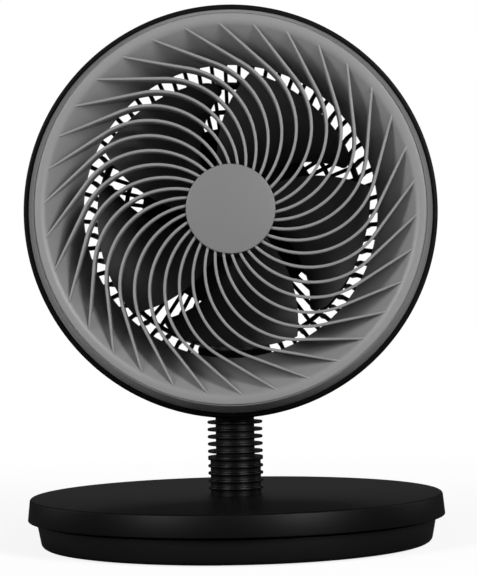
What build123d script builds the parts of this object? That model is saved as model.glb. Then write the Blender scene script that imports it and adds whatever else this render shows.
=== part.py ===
from build123d import *
import os
from math import acos, atan2, cos, degrees, pi, radians, sin, sqrt, tan

os.makedirs("parts", exist_ok=True)

# Desk air circulator: a grilled head on a ribbed tilting neck, on a round base with a turntable top.
# Frame: origin on the floor under the middle of the base, +Z up, air blows towards -Y, +X is the
# viewer's right. Lengths are millimetres, angles degrees. A depth in the head runs back from the
# grille's front plane, along the impeller's axis.

# ---- fits ----
flat_gap = 0.05  # between flat faces that slide on each other
running_gap = 0.05  # round a turning shaft or pin, on the radius
seat_gap = 0.2  # round a piece that drops into its seat
thread_gap = 0.1  # round a screw's shank, on the radius
moving_gap = 0.4  # between covers that move past each other

# ---- head as a whole ----
head_lean = 1.3  # backward lean of the head at rest
head_height = 187.4  # middle of the grille above the floor
head_reach = 43.0  # front plane ahead of the neck's axis

# ---- front grille ----
land_inner = 101.9  # radius where the funnel starts
land_outer = 106.8  # radius of the flat front ring
land_step = 1.0  # depth of the step round the front ring
land_step_width = 0.5
land_round = 0.8
skirt_radius = 112.0  # rear edge of the flared outer side
skirt_depth = 21.0
throat_radius = 81.4  # narrow rear end of the funnel
throat_depth = 26.0
grille_wall = 2.0
funnel_wall = 2.4
hub_ring_wall = 2.4
hub_ring_depth = 12.0

# ---- vanes: an arc out to the bend, then a straight blade across the funnel ----
vane_count = 34
vane_phase = 0.9
vane_arc_radius = 44.4
vane_arc_offset = 45.0  # arc's centre from the head's axis
vane_bend_radius = 80.3  # distance from the head's axis where the straight part starts
vane_width = 1.8
vane_end_width = 1.4
vane_throat_back = 2.0  # vanes' rear edges ahead of the throat's

# ---- centre cap ----
cap_radius = 24.5
cap_thickness = 1.4  # the disc lies on the vanes' front edges
cap_round = 0.6
cap_spigot_wall = 1.6
cap_spigot_length = 4.4

# ---- head housing ----
lip_radius = 115.0
lip_front = 21.6
lip_back = 27.0
lip_round = 1.2
barrel_front_radius = 113.0  # barrel just behind the lip
barrel_rear_radius = 104.0
barrel_depth = 66.0
barrel_corner = 2.5
intake_rear_radius = 93.0  # mouth of the recess that the rear grille stands in
rim_seat_depth = 34.0  # floor of the recess
shell_wall = 2.2

# ---- screws of the head ----
screw_radius = 1.5
screw_head_radius = 2.8
screw_head_height = 1.8
post_count = 4
post_circle = 98.5
post_radius = 4.2
post_front = 32.0
post_floor = 4.0
grille_boss_radius = 3.15
grille_screw_length = 16.0

# ---- rear grille ----
bar_count = 67
bar_phase = 4.3  # first bar, clockwise from the top
bar_width = 2.2
bar_thickness = 3.0
pod_radius = 52.0
pod_depth = 86.0  # front face of the plate that carries the motor
pod_thickness = 2.5
inner_hoop_radius = 61.5  # only over the top half, from one bar to another
inner_hoop_bars = (16, 50)
outer_hoop_radius = 76.0
hoop_width = 2.5
cage_radius = 76.8  # corner between the flat back and the steep side
cage_waist_radius = 78.0
cage_waist_depth = 50.0
cage_wall = 2.2
cage_round = 3.0
rim_radius = 92.0
rim_thickness = 2.5
rim_screw_count = 6
rim_screw_length = 8.0
patch_width = 39.5  # solid patch in the cage's side above the neck
cover_radius = 46.0
cover_edge_height = 4.0
cover_rise = 2.0
cover_wall = 2.0

# ---- impeller ----
blade_count = 5
blade_tip_radius = 79.0  # at the trailing corner
blade_crown_radius = 76.2  # halfway along the tip
blade_shoulder_radius = 75.5  # where the tip starts to fall away to the leading corner
blade_shoulder_angle = 61.0
blade_leading_radius = 71.0
blade_front = 30.5
blade_back = 64.0
blade_thickness = 1.8
blade_camber = 4.0
blade_trailing_root = -17.3  # edge angles, clockwise from the top as the viewer sees them
blade_trailing_tip = 9.0
blade_leading_root = 35.0
blade_leading_tip = 75.7
blade_tip_round = 2.5
blade_sheet_radius = 100.0  # a blade is cut from a twisted sheet that reaches this far out
blade_trim = 1.0  # and this many degrees past both edges
impeller_hub_radius = 24.0
impeller_hub_wall = 1.8
impeller_boss_radius = 6.0

# ---- motor ----
shaft_radius = 2.5
nut_width = 9.0
nut_height = 4.0
rotor_radius = 21.5
rotor_wall = 1.2
rotor_depth = 58.0
rotor_length = 18.0
magnet_thickness = 1.8
magnet_length = 13.0
air_gap = 0.6
stator_teeth = 9
stator_ring_width = 3.0
stator_tooth_width = 3.0
stator_shoe = 1.6
slot_opening = 1.5
stator_length = 10.0
coil_thickness = 1.6
bearing_radius = 6.5
bearing_width = 4.0
bearing_tube_wall = 1.5
motor_flange_radius = 24.0
motor_flange_thickness = 2.0
motor_screw_count = 3
motor_screw_circle = 20.0
motor_screw_length = 4.2
motor_board_radius = 19.0
motor_board_thickness = 1.2

# ---- neck ----
rib_count = 11
post_rib_count = 5
rib_pitch = 4.09
first_rib = 3.8  # lowest rib above the turntable
shoulder_rise = 1.445  # top of the rigid post above the middle of its last rib
rib_radius = 15.5
rib_tip = 1.2
rib_root = 1.6
neck_core_radius = 14.2
bellows_half_width = 10.85  # its sides are flat between the ribs
bellows_wall = 1.65
bellows_bore_radius = 11.0
bellows_mouth_radius = 12.2  # at the very top, to pass under the barrel
neck_boss_radius = 17.0
neck_boss_height = 9.4
hinge_rise = 12.4  # tilt axis above the top of the rigid post
knuckle_radius = 5.5
tongue_half_width = 2.6
washer_thickness = 0.5
ear_thickness = 2.5
pin_radius = 2.0
pin_head_radius = 3.2
pin_head_height = 1.8
pin_nut_height = 2.3
stem_radius = 6.5
arm_flange_radius = 15.5
arm_flange_thickness = 3.0
arm_screw_count = 4
arm_screw_circle = 11.5
arm_screw_length = 8.0
wire_radius = 1.9
wire_offset = 6.8
post_screw_count = 3
post_screw_circle = 10.5
post_screw_length = 14.0

# ---- turntable ----
turntable_top = 28.0
turntable_bottom = 15.8
turntable_radius = 117.3
turntable_top_radius = 116.0
turntable_round = 1.2
turntable_plate = 3.0
turntable_wall = 2.4
track_radius = 97.0
track_width = 4.0
glide_thickness = 2.0
spindle_inner_radius = 15.0
spindle_wall = 4.0
retainer_radius = 23.0
retainer_thickness = 2.2
retainer_screw_count = 3
retainer_screw_length = 7.0
small_screw_radius = 1.0
small_screw_head_radius = 1.8
small_screw_head_height = 1.2

# ---- swing drive ----
gear_module = 1.0
ring_teeth = 64
pinion_teeth = 16
pressure_angle = 20.0
addendum = 0.95  # in modules
dedendum = 1.25
backlash = 0.16
gear_thickness = 4.0
gear_screw_count = 3
gear_screw_circle = 25.0
gear_screw_length = 5.8
swing_motor_radius = 14.0
swing_motor_height = 14.6
swing_motor_offset = 8.0  # output shaft off the motor's middle
swing_ear_reach = 17.5
swing_ear_width = 7.0
swing_ear_thickness = 0.8
swing_collar_radius = 4.5
swing_collar_height = 1.0
pinion_stub_length = 10.0

# ---- base ----
foot_stand = 0.8  # bottom of the base above the floor
base_top_radius = 112.2
base_bottom_radius = 109.6
base_round = 2.4
base_wall = 2.2
deck_top = 14.5
deck_thickness = 2.0
spindle_collar_wall = 2.7
spindle_collar_drop = 4.2
floor_thickness = 2.6
floor_radius = 106.4
base_screw_count = 6
base_screw_circle = 103.0
base_screw_length = 8.0
base_post_radius = 3.0
foot_count = 6
foot_angle = 15.5  # of the first foot, from +X
foot_circle = 98.0
foot_length = 33.0
foot_width = 7.0
foot_recess = 0.8
ballast_inner_radius = 34.0
ballast_outer_radius = 99.0
ballast_thickness = 4.5
ballast_bottom = 5.4
ballast_screw_count = 3
ballast_screw_circle = 70.0
ballast_screw_length = 9.5
ballast_post_radius = 4.0

# ---- controls at the back of the base ----
control_height = 8.5
jack_radius = 4.0
jack_bore_radius = 2.75
jack_pin_radius = 1.0
jack_length = 12.0
jack_bore_depth = 9.5
jack_pin_length = 8.0
button_angle = 14.0  # of each button from the jack, round the base
button_radius = 3.2
button_flange_radius = 3.9
button_flange_thickness = 1.0
button_stand = 1.0
button_travel = 0.6
button_stem_radius = 1.6
button_stem_length = 5.0
plunger_radius = 1.0
plunger_length = 1.6
plunger_stand = 0.9
switch_width = 6.0
switch_depth = 3.6
board_width = 68.0
board_length = 22.0
board_middle = 90.0
board_thickness = 1.2
board_screw_spacing = 58.0
board_screw_circle_offset = 6.0
board_screw_length = 5.0

# ---- planes and axes of the head ----
forward = Vector(0, -cos(radians(head_lean)), sin(radians(head_lean)))
head_front = Plane(origin=(0, -head_reach, head_height), x_dir=(1, 0, 0), z_dir=forward)
head_axis = Axis(head_front.origin, forward)
# section plane: its X is a radius to the viewer's right, its Y the way the air blows
head_section = Plane(origin=head_front.origin, x_dir=(1, 0, 0), z_dir=Vector(1, 0, 0).cross(forward))


def behind(depth):
    """Plane square to the impeller's axis at a depth behind the grille's front plane."""
    return head_front.offset(-depth)


def finish(piece, name):
    """Names a finished piece and writes it to its own file."""
    piece.part.label = name
    export_step(piece.part, f"parts/{name}.step")


def screws(seat, places, shank, length, head, head_height):
    """Pan-head screws whose heads stand on the seat plane and whose shanks run the other way."""
    with BuildPart() as group:
        with BuildSketch(seat):
            with Locations(places):
                Circle(head)
        extrude(amount=head_height)
        with BuildSketch(seat):
            with Locations(places):
                Circle(shank)
        extrude(amount=-length)
    return group.part


def around(circle, count, start=0.0):
    """Points evenly spaced on a circle, as places for screws, posts and holes."""
    step = 2 * pi / count
    first = radians(start)
    return [(circle * cos(first + n * step), circle * sin(first + n * step)) for n in range(count)]


# ---- front grille: ring, funnel, hub ring and vanes moulded in one ----
land_middle = (land_inner + land_outer) / 2
skirt_start = land_outer + land_step_width
hub_ring_radius = cap_radius - seat_gap
hub_ring_bore = hub_ring_radius - hub_ring_wall
hub_floor_depth = hub_ring_depth - grille_wall
vane_back = throat_depth - vane_throat_back
post_places = around(post_circle, post_count, 45)
vane_end_radius = land_inner + grille_wall / 2


def arc_angle(radius):
    """Angle, seen from the arc's centre, of the vane's point at a distance from the head's axis."""
    swing = acos((radius**2 + vane_arc_offset**2 - vane_arc_radius**2) / (2 * radius * vane_arc_offset))
    return degrees(atan2(radius * cos(swing) - vane_arc_offset, radius * sin(swing)))


with BuildSketch() as vane_outline:
    start_angle = arc_angle(hub_ring_bore + hub_ring_wall / 2)
    bend_angle = arc_angle(vane_bend_radius)
    bend = radians(bend_angle)
    bend_point = Vector(vane_arc_radius * cos(bend), vane_arc_offset + vane_arc_radius * sin(bend))
    outward = Vector(-sin(bend), cos(bend))
    across = Vector(cos(bend), sin(bend))
    along = bend_point.dot(outward)
    blade_length = sqrt(along**2 + (vane_end_radius**2 - vane_bend_radius**2)) - along
    tip_point = bend_point + outward * blade_length
    with BuildLine():
        outer_arc = CenterArc(
            (0, vane_arc_offset),
            vane_arc_radius + vane_width / 2,
            start_angle,
            bend_angle - start_angle,
        )
        inner_arc = CenterArc(
            (0, vane_arc_offset),
            vane_arc_radius - vane_width / 2,
            start_angle,
            bend_angle - start_angle,
        )
        Line(outer_arc @ 0, inner_arc @ 0)
        Polyline(
            outer_arc @ 1,
            tip_point + across * (vane_end_width / 2),
            tip_point - across * (vane_end_width / 2),
            inner_arc @ 1,
        )
    make_face()

with BuildPart() as vanes:
    with BuildSketch(behind(cap_thickness)):
        with PolarLocations(0, vane_count, start_angle=-vane_phase):
            add(vane_outline.sketch)
    extrude(amount=-throat_depth)
    with BuildSketch(head_section):
        Polygon(
            (hub_ring_bore, -cap_thickness),
            (vane_end_radius, -cap_thickness),
            (throat_radius + funnel_wall / 2, -vane_back),
            (throat_radius - funnel_wall / 2, -vane_back),
            (hub_ring_bore, -hub_ring_depth),
            align=None,
        )
    revolve(axis=head_axis, mode=Mode.INTERSECT)

with BuildPart() as front_grille:
    with BuildSketch(behind(grille_wall)):
        with Locations(post_places):
            Circle(grille_boss_radius)
    extrude(amount=-(post_front - seat_gap - grille_wall))
    with BuildSketch(head_section):
        Polygon(
            (throat_radius / 2, 0),
            (land_inner, 0),
            (throat_radius, -throat_depth),
            (throat_radius / 2, -throat_depth),
            align=None,
        )
    revolve(axis=head_axis, mode=Mode.SUBTRACT)
    with BuildSketch(head_section) as ring_section:
        Polygon(
            (land_inner, 0),
            (land_outer, 0),
            (land_outer, -land_step),
            (skirt_start, -land_step),
            (skirt_radius, -skirt_depth),
            (skirt_radius - grille_wall, -skirt_depth),
            (land_middle, -grille_wall),
            (throat_radius + funnel_wall, -throat_depth),
            (throat_radius, -throat_depth),
            align=None,
        )
        fillet(ring_section.vertices().group_by(Axis.Y)[-1].sort_by(Axis.X)[-1], land_round)
    revolve(axis=head_axis)
    with BuildSketch(behind(cap_thickness)):
        Circle(hub_ring_radius)
    extrude(amount=-(hub_ring_depth - cap_thickness))
    with BuildSketch(behind(cap_thickness)):
        Circle(hub_ring_bore)
    extrude(amount=-(hub_floor_depth - cap_thickness), mode=Mode.SUBTRACT)
    add(vanes.part)
    with BuildSketch(behind(post_front)):
        with Locations(post_places):
            Circle(screw_radius + thread_gap)
    extrude(amount=grille_screw_length - post_floor, mode=Mode.SUBTRACT)
finish(front_grille, "front_grille")

# ---- centre cap: plain disc with a spigot that snaps into the hub ring ----
spigot_radius = hub_ring_bore - seat_gap
with BuildPart() as centre_cap:
    with BuildSketch(behind(cap_thickness)):
        Circle(cap_radius)
    extrude(amount=cap_thickness)
    fillet(centre_cap.edges().filter_by(GeomType.CIRCLE).sort_by(Axis.Y)[0], cap_round)
    with BuildSketch(behind(cap_thickness)):
        Circle(spigot_radius)
        Circle(spigot_radius - cap_spigot_wall, mode=Mode.SUBTRACT)
    extrude(amount=-cap_spigot_length)
finish(centre_cap, "centre_cap")

# ---- head housing: barrel with a deep recess behind, screw posts inside and the boss on the neck ----
duct_front = throat_depth + seat_gap
duct_radius = throat_radius + funnel_wall / 2
duct_back = rim_seat_depth - shell_wall
intake_radius = rim_radius + seat_gap
rim_bore = duct_radius + seat_gap
rear_face_front = barrel_depth - shell_wall
neck_top = turntable_top + first_rib + (rib_count - 0.5) * rib_pitch
arm_seat = neck_top + neck_boss_height
rim_screw_circle = (rim_bore + rim_radius) / 2
rim_screw_places = around(rim_screw_circle, rim_screw_count)
arm_screw_places = around(arm_screw_circle, arm_screw_count, 45)
rim_boss_radius = screw_radius + shell_wall
screw_seat_depth = post_front + post_floor

with BuildPart() as head_housing:
    with BuildSketch(head_section) as barrel_section:
        Polygon(
            (skirt_radius + seat_gap, -lip_front),
            (lip_radius, -lip_front),
            (lip_radius, -lip_back),
            (barrel_front_radius, -lip_back - (lip_radius - barrel_front_radius)),
            (barrel_rear_radius, -barrel_depth),
            (intake_rear_radius, -barrel_depth),
            (intake_radius, -rim_seat_depth),
            (duct_radius, -rim_seat_depth),
            (duct_radius, -duct_front),
            (duct_radius + shell_wall, -duct_front),
            (duct_radius + shell_wall, -duct_back),
            (intake_radius + shell_wall, -duct_back),
            (intake_rear_radius + shell_wall, -rear_face_front),
            (barrel_rear_radius - shell_wall, -rear_face_front),
            (barrel_front_radius - shell_wall, -lip_back - (lip_radius - barrel_front_radius)),
            (skirt_radius + seat_gap, -lip_back),
            align=None,
        )
        fillet(barrel_section.vertices().group_by(Axis.Y)[-1].sort_by(Axis.X)[-1], lip_round)
        fillet(barrel_section.vertices().group_by(Axis.Y)[0].sort_by(Axis.X)[-1], barrel_corner)
    revolve(axis=head_axis)
    with BuildSketch(behind(post_front)):
        with Locations(post_places):
            Circle(post_radius)
    extrude(amount=-(rear_face_front + shell_wall / 2 - post_front))
    with BuildSketch(behind(duct_front)):
        with Locations(rim_screw_places):
            Circle(rim_boss_radius)
    extrude(amount=-(duct_back + shell_wall / 2 - duct_front))
    with BuildSketch(Plane.XY.offset(neck_top)):
        Circle(neck_boss_radius)
    extrude(amount=neck_boss_height)
    with BuildSketch(behind(barrel_depth)):
        with Locations(post_places):
            Circle(screw_head_radius + seat_gap)
    extrude(amount=barrel_depth - screw_seat_depth, mode=Mode.SUBTRACT)
    with BuildSketch(behind(screw_seat_depth)):
        with Locations(post_places):
            Circle(screw_radius + thread_gap)
    extrude(amount=post_floor, mode=Mode.SUBTRACT)
    with BuildSketch(behind(rim_seat_depth)):
        with Locations(rim_screw_places):
            Circle(screw_radius + thread_gap)
    extrude(amount=rim_screw_length - rim_thickness, mode=Mode.SUBTRACT)
    with BuildSketch(Plane.XY.offset(neck_top)):
        Circle(stem_radius + seat_gap)
        with Locations((0, wire_offset)):
            Circle(wire_radius)
    extrude(amount=neck_boss_height, mode=Mode.SUBTRACT)
    with BuildSketch(Plane.XY.offset(arm_seat)):
        with Locations(arm_screw_places):
            Circle(screw_radius + thread_gap)
    extrude(amount=-(arm_screw_length - arm_flange_thickness), mode=Mode.SUBTRACT)
finish(head_housing, "head_housing")

# ---- grille screws: from behind, down the posts of the housing into the grille's bosses ----
with BuildPart() as grille_screws:
    add(
        screws(
            behind(screw_seat_depth).rotated((180, 0, 0)),
            [(x, -y) for x, y in post_places],
            screw_radius,
            grille_screw_length,
            screw_head_radius,
            screw_head_height,
        )
    )
finish(grille_screws, "grille_screws")

# ---- rear grille: basket of near-radial bars round the impeller, with the plate for the motor ----
pod_back = pod_depth + pod_thickness
cage_back = pod_depth + bar_thickness
cage_middle = (pod_radius + rim_bore + cage_wall) / 2
hoop_ends = [radians(bar_phase + n * 360 / bar_count) for n in inner_hoop_bars]

with BuildPart() as rear_grille:
    with BuildSketch(behind(rim_seat_depth)):
        with PolarLocations(cage_middle, bar_count, start_angle=90 - bar_phase):
            Rectangle(rim_bore - pod_radius + 2 * cage_wall, bar_width)
        with BuildSketch(mode=Mode.ADD):
            Circle(outer_hoop_radius + hoop_width / 2)
            Circle(outer_hoop_radius - hoop_width / 2, mode=Mode.SUBTRACT)
        with BuildSketch(mode=Mode.ADD):
            Circle(inner_hoop_radius + hoop_width / 2)
            Circle(inner_hoop_radius - hoop_width / 2, mode=Mode.SUBTRACT)
            Polygon(
                *[(inner_hoop_radius * sin(angle), inner_hoop_radius * cos(angle)) for angle in hoop_ends],
                (-2 * inner_hoop_radius, 2 * inner_hoop_radius),
                (2 * inner_hoop_radius, 2 * inner_hoop_radius),
                align=None,
                mode=Mode.INTERSECT,
            )
    extrude(amount=-(cage_back - rim_seat_depth))
    with BuildSketch(behind(rim_seat_depth)):
        Circle(rim_bore + cage_wall)
        Circle(cage_waist_radius, mode=Mode.SUBTRACT)
        with Locations((0, -rim_bore)):
            Rectangle(patch_width, rim_bore, mode=Mode.INTERSECT)
    extrude(amount=-(cage_waist_depth - rim_seat_depth))
    with BuildSketch(head_section) as cage_section:
        Polygon(
            (pod_radius - cage_wall / 2, -pod_depth),
            (cage_radius, -pod_depth),
            (cage_waist_radius, -cage_waist_depth),
            (rim_bore, -rim_seat_depth),
            (rim_bore + cage_wall, -rim_seat_depth),
            (cage_waist_radius + cage_wall, -cage_waist_depth),
            (cage_radius + cage_wall, -cage_back),
            (pod_radius - cage_wall / 2, -cage_back),
            align=None,
        )
        fillet(cage_section.vertices().group_by(Axis.Y)[1].sort_by(Axis.X)[-1], cage_round)
        fillet(cage_section.vertices().group_by(Axis.Y)[0].sort_by(Axis.X)[-1], cage_round + cage_wall)
    revolve(axis=head_axis, mode=Mode.INTERSECT)
    with BuildSketch(behind(rim_seat_depth)):
        Circle(rim_radius)
        Circle(rim_bore, mode=Mode.SUBTRACT)
        with Locations(rim_screw_places):
            Circle(screw_radius + thread_gap, mode=Mode.SUBTRACT)
    extrude(amount=-rim_thickness)
    with BuildSketch(behind(pod_depth)):
        Circle(pod_radius)
        with Locations(around(motor_screw_circle, motor_screw_count, 90)):
            Circle(screw_radius + thread_gap, mode=Mode.SUBTRACT)
    extrude(amount=-pod_thickness)
finish(rear_grille, "rear_grille")

with BuildPart() as rear_grille_screws:
    add(
        screws(
            behind(rim_seat_depth + rim_thickness).rotated((180, 0, 0)),
            [(x, -y) for x, y in rim_screw_places],
            screw_radius,
            rim_screw_length,
            screw_head_radius,
            screw_head_height,
        )
    )
finish(rear_grille_screws, "rear_grille_screws")

# ---- motor cover: shallow domed cap over the motor's screws at the back ----
with BuildPart() as motor_cover:
    with BuildSketch(head_section):
        Polygon(
            (cover_radius, -pod_back),
            (cover_radius - cover_wall, -pod_back),
            (cover_radius - 2 * cover_wall, -pod_back - cover_edge_height + cover_wall),
            (0, -pod_back - cover_edge_height - cover_rise + cover_wall),
            (0, -pod_back - cover_edge_height - cover_rise),
            (cover_radius - cover_wall, -pod_back - cover_edge_height),
            align=None,
        )
    revolve(axis=head_axis)
finish(motor_cover, "motor_cover")

# ---- motor mount: flange on the rear plate with the tube that holds both bearings ----
flange_front = pod_depth - motor_flange_thickness
tube_front = rotor_depth + rotor_wall + seat_gap + bearing_tube_wall
tube_radius = bearing_radius + bearing_tube_wall
front_bearing_depth = tube_front
rear_bearing_depth = flange_front - bearing_width
motor_screw_places = around(motor_screw_circle, motor_screw_count, 90)

with BuildPart() as motor_mount:
    with BuildSketch(behind(flange_front)):
        Circle(motor_flange_radius)
    extrude(amount=-motor_flange_thickness)
    with BuildSketch(behind(tube_front)):
        Circle(tube_radius)
    extrude(amount=-(flange_front - tube_front))
    with BuildSketch(behind(tube_front)):
        Circle(bearing_radius)
    extrude(amount=-bearing_width, mode=Mode.SUBTRACT)
    with BuildSketch(behind(rear_bearing_depth)):
        Circle(bearing_radius)
    extrude(amount=-(pod_depth - rear_bearing_depth), mode=Mode.SUBTRACT)
    with BuildSketch(behind(tube_front)):
        Circle(bearing_radius - bearing_tube_wall)
    extrude(amount=-(pod_depth - tube_front), mode=Mode.SUBTRACT)
    with BuildSketch(behind(flange_front)):
        with Locations(motor_screw_places):
            Circle(screw_radius + thread_gap)
    extrude(amount=-motor_flange_thickness, mode=Mode.SUBTRACT)
finish(motor_mount, "motor_mount")

with BuildPart() as motor_screws:
    add(
        screws(
            behind(pod_back).rotated((180, 0, 0)),
            [(x, -y) for x, y in motor_screw_places],
            screw_radius,
            motor_screw_length,
            screw_head_radius,
            screw_head_height,
        )
    )
finish(motor_screws, "motor_screws")

with BuildPart() as motor_bearings:
    for bearing_depth in (front_bearing_depth, rear_bearing_depth):
        with BuildSketch(behind(bearing_depth)):
            Circle(bearing_radius)
            Circle(shaft_radius + running_gap, mode=Mode.SUBTRACT)
        extrude(amount=-bearing_width)
finish(motor_bearings, "motor_bearings")

# ---- stator: slotted core on the bearing tube, a coil round each tooth ----
magnet_radius = rotor_radius - rotor_wall
stator_radius = magnet_radius - magnet_thickness - air_gap
stator_front = rotor_depth + rotor_wall + seat_gap + coil_thickness + bearing_tube_wall
stator_ring_radius = tube_radius + stator_ring_width
tooth_length = stator_radius - stator_shoe - stator_ring_radius
tooth_middle = stator_ring_radius + tooth_length / 2

with BuildPart() as stator_core:
    with BuildSketch(behind(stator_front)):
        Circle(stator_radius)
        Circle(stator_radius - stator_shoe, mode=Mode.SUBTRACT)
        with PolarLocations(stator_radius - stator_shoe / 2, stator_teeth, start_angle=180 / stator_teeth):
            Rectangle(2 * stator_shoe, slot_opening, mode=Mode.SUBTRACT)
        with PolarLocations(tooth_middle, stator_teeth):
            Rectangle(tooth_length + stator_shoe, stator_tooth_width)
        Circle(stator_ring_radius)
        Circle(tube_radius, mode=Mode.SUBTRACT)
    extrude(amount=-stator_length)
finish(stator_core, "stator_core")

with BuildPart() as stator_coils:
    with BuildSketch(behind(stator_front - coil_thickness)):
        with PolarLocations(tooth_middle, stator_teeth):
            Rectangle(tooth_length - 2 * seat_gap, stator_tooth_width + coil_thickness)
    extrude(amount=-(stator_length + 2 * coil_thickness))
    with BuildSketch(behind(stator_front)):
        with PolarLocations(tooth_middle, stator_teeth):
            Rectangle(tooth_length + stator_shoe, stator_tooth_width)
    extrude(amount=-stator_length, mode=Mode.SUBTRACT)
finish(stator_coils, "stator_coils")

with BuildPart() as motor_board:
    with BuildSketch(behind(flange_front - 2 * motor_board_thickness)):
        Circle(motor_board_radius)
        Circle(tube_radius, mode=Mode.SUBTRACT)
        with Locations(motor_screw_places):
            Circle(screw_head_radius, mode=Mode.SUBTRACT)
    extrude(amount=-motor_board_thickness)
finish(motor_board, "motor_board")

# ---- rotor: steel cup with a magnet ring, turning round the stator ----
with BuildPart() as rotor_cup:
    with BuildSketch(behind(rotor_depth)):
        Circle(rotor_radius)
    extrude(amount=-rotor_length)
    with BuildSketch(behind(rotor_depth + rotor_wall)):
        Circle(magnet_radius)
    extrude(amount=-rotor_length, mode=Mode.SUBTRACT)
    with BuildSketch(behind(rotor_depth)):
        Circle(shaft_radius)
    extrude(amount=-rotor_length, mode=Mode.SUBTRACT)
finish(rotor_cup, "rotor_cup")

magnet_front = rotor_depth + rotor_length - magnet_length
with BuildPart() as magnet_ring:
    with BuildSketch(behind(magnet_front)):
        Circle(magnet_radius)
        Circle(magnet_radius - magnet_thickness, mode=Mode.SUBTRACT)
    extrude(amount=-magnet_length)
finish(magnet_ring, "magnet_ring")

nut_front = blade_front - nut_height
with BuildPart() as motor_shaft:
    with BuildSketch(behind(nut_front - 1)):
        Circle(shaft_radius)
    extrude(amount=-(pod_depth - flat_gap - nut_front + 1))
finish(motor_shaft, "motor_shaft")

# ---- impeller: hub cup over the rotor with five wide skewed blades ----
hub_front = blade_front
hub_back = rotor_depth + rotor_length - 2 * impeller_hub_wall
section_radii = (
    impeller_hub_radius - 2 * impeller_hub_wall,
    (impeller_hub_radius + blade_sheet_radius) / 2,
    blade_sheet_radius,
)
blade_middle_depth = (blade_front + blade_back) / 2
blade_rise = (blade_back - blade_front) / 2


def edge_angle(root_angle, tip_angle, radius):
    """Angle of a blade's edge at a radius, moving evenly from the hub to the tip."""
    share = (radius - impeller_hub_radius) / (blade_tip_radius - impeller_hub_radius)
    return root_angle + (tip_angle - root_angle) * share


def edge_point(root_angle, tip_angle, radius):
    """Point of a blade's edge in the head's front view."""
    angle = radians(edge_angle(root_angle, tip_angle, radius))
    return (radius * sin(angle), radius * cos(angle))


with BuildPart() as blade:
    for section_radius in section_radii:
        trailing = edge_angle(blade_trailing_root, blade_trailing_tip, section_radius)
        leading = edge_angle(blade_leading_root, blade_leading_tip, section_radius)
        middle = radians((trailing + leading) / 2)
        half_chord = radians((leading - trailing) / 2 + blade_trim)
        reach = section_radius * sin(half_chord)
        radial = head_front.x_dir * sin(middle) + head_front.y_dir * cos(middle)
        tangent = head_front.x_dir * cos(middle) - head_front.y_dir * sin(middle)
        station_origin = behind(blade_middle_depth).origin + radial * section_radius * cos(half_chord)
        with BuildSketch(Plane(origin=station_origin, x_dir=tangent, z_dir=radial)):
            with BuildLine():
                front_line = ThreePointArc(
                    (-reach, -blade_rise),
                    (0, -blade_camber),
                    (reach, blade_rise - blade_thickness),
                )
                back_line = ThreePointArc(
                    (-reach, -blade_rise + blade_thickness),
                    (0, blade_thickness - blade_camber),
                    (reach, blade_rise),
                )
                Line(front_line @ 0, back_line @ 0)
                Line(front_line @ 1, back_line @ 1)
            make_face()
    loft()
    root_radius = impeller_hub_radius - impeller_hub_wall / 2
    waist_radius = (impeller_hub_radius + blade_tip_radius) / 2
    shoulder_angle = radians(blade_shoulder_angle)
    crown_angle = radians((blade_trailing_tip + blade_shoulder_angle) / 2)
    with BuildSketch(head_front) as planform:
        with BuildLine():
            trailing_edge = ThreePointArc(
                edge_point(blade_trailing_root, blade_trailing_tip, root_radius),
                edge_point(blade_trailing_root, blade_trailing_tip, waist_radius),
                edge_point(blade_trailing_root, blade_trailing_tip, blade_tip_radius),
            )
            leading_edge = ThreePointArc(
                edge_point(blade_leading_root, blade_leading_tip, root_radius),
                edge_point(blade_leading_root, blade_leading_tip, waist_radius),
                edge_point(blade_leading_root, blade_leading_tip, blade_leading_radius),
            )
            tip_edge = ThreePointArc(
                trailing_edge @ 1,
                (blade_crown_radius * sin(crown_angle), blade_crown_radius * cos(crown_angle)),
                (blade_shoulder_radius * sin(shoulder_angle), blade_shoulder_radius * cos(shoulder_angle)),
            )
            TangentArc(tip_edge @ 1, leading_edge @ 1, tangent=tip_edge % 1)
            Line(trailing_edge @ 0, leading_edge @ 0)
        make_face()
        fillet(planform.vertices().sort_by(Axis.X)[-1], blade_tip_round)
    extrude(amount=-barrel_depth, mode=Mode.INTERSECT)

with BuildPart() as impeller:
    with BuildSketch(behind(hub_front)):
        Circle(impeller_hub_radius)
    extrude(amount=-(hub_back - hub_front))
    fillet(impeller.edges().filter_by(GeomType.CIRCLE).sort_by(Axis.Y)[0], impeller_hub_wall)
    add([blade.part.rotate(head_axis, n * 360 / blade_count) for n in range(blade_count)])
    with BuildSketch(behind(hub_front + impeller_hub_wall)):
        Circle(impeller_hub_radius - impeller_hub_wall)
    extrude(amount=-(hub_back - hub_front), mode=Mode.SUBTRACT)
    with BuildSketch(behind(hub_front)):
        Circle(impeller_boss_radius)
    extrude(amount=-(rotor_depth - hub_front))
    with BuildSketch(behind(hub_front)):
        Circle(shaft_radius)
    extrude(amount=-(hub_back - hub_front), mode=Mode.SUBTRACT)
finish(impeller, "impeller")

with BuildPart() as impeller_nut:
    with BuildSketch(behind(nut_front)):
        RegularPolygon(nut_width / 2, 6, major_radius=False)
        Circle(shaft_radius, mode=Mode.SUBTRACT)
    extrude(amount=-nut_height)
finish(impeller_nut, "impeller_nut")

# ---- neck: rigid ribbed post below, ribbed bellows above, both with ribs at one pitch ----
neck_base = turntable_top
shoulder = neck_base + first_rib + (post_rib_count - 1) * rib_pitch + shoulder_rise
hinge_height = shoulder + hinge_rise
bellows_bore_half_width = bellows_half_width - bellows_wall
ear_inner = tongue_half_width + washer_thickness + 2 * flat_gap
ear_outer = ear_inner + ear_thickness
stem_bottom = hinge_height + knuckle_radius + 3 * moving_gap
knuckle_floor = hinge_height - knuckle_radius - moving_gap
post_screw_places = around(post_screw_circle, post_screw_count, -90)


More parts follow.
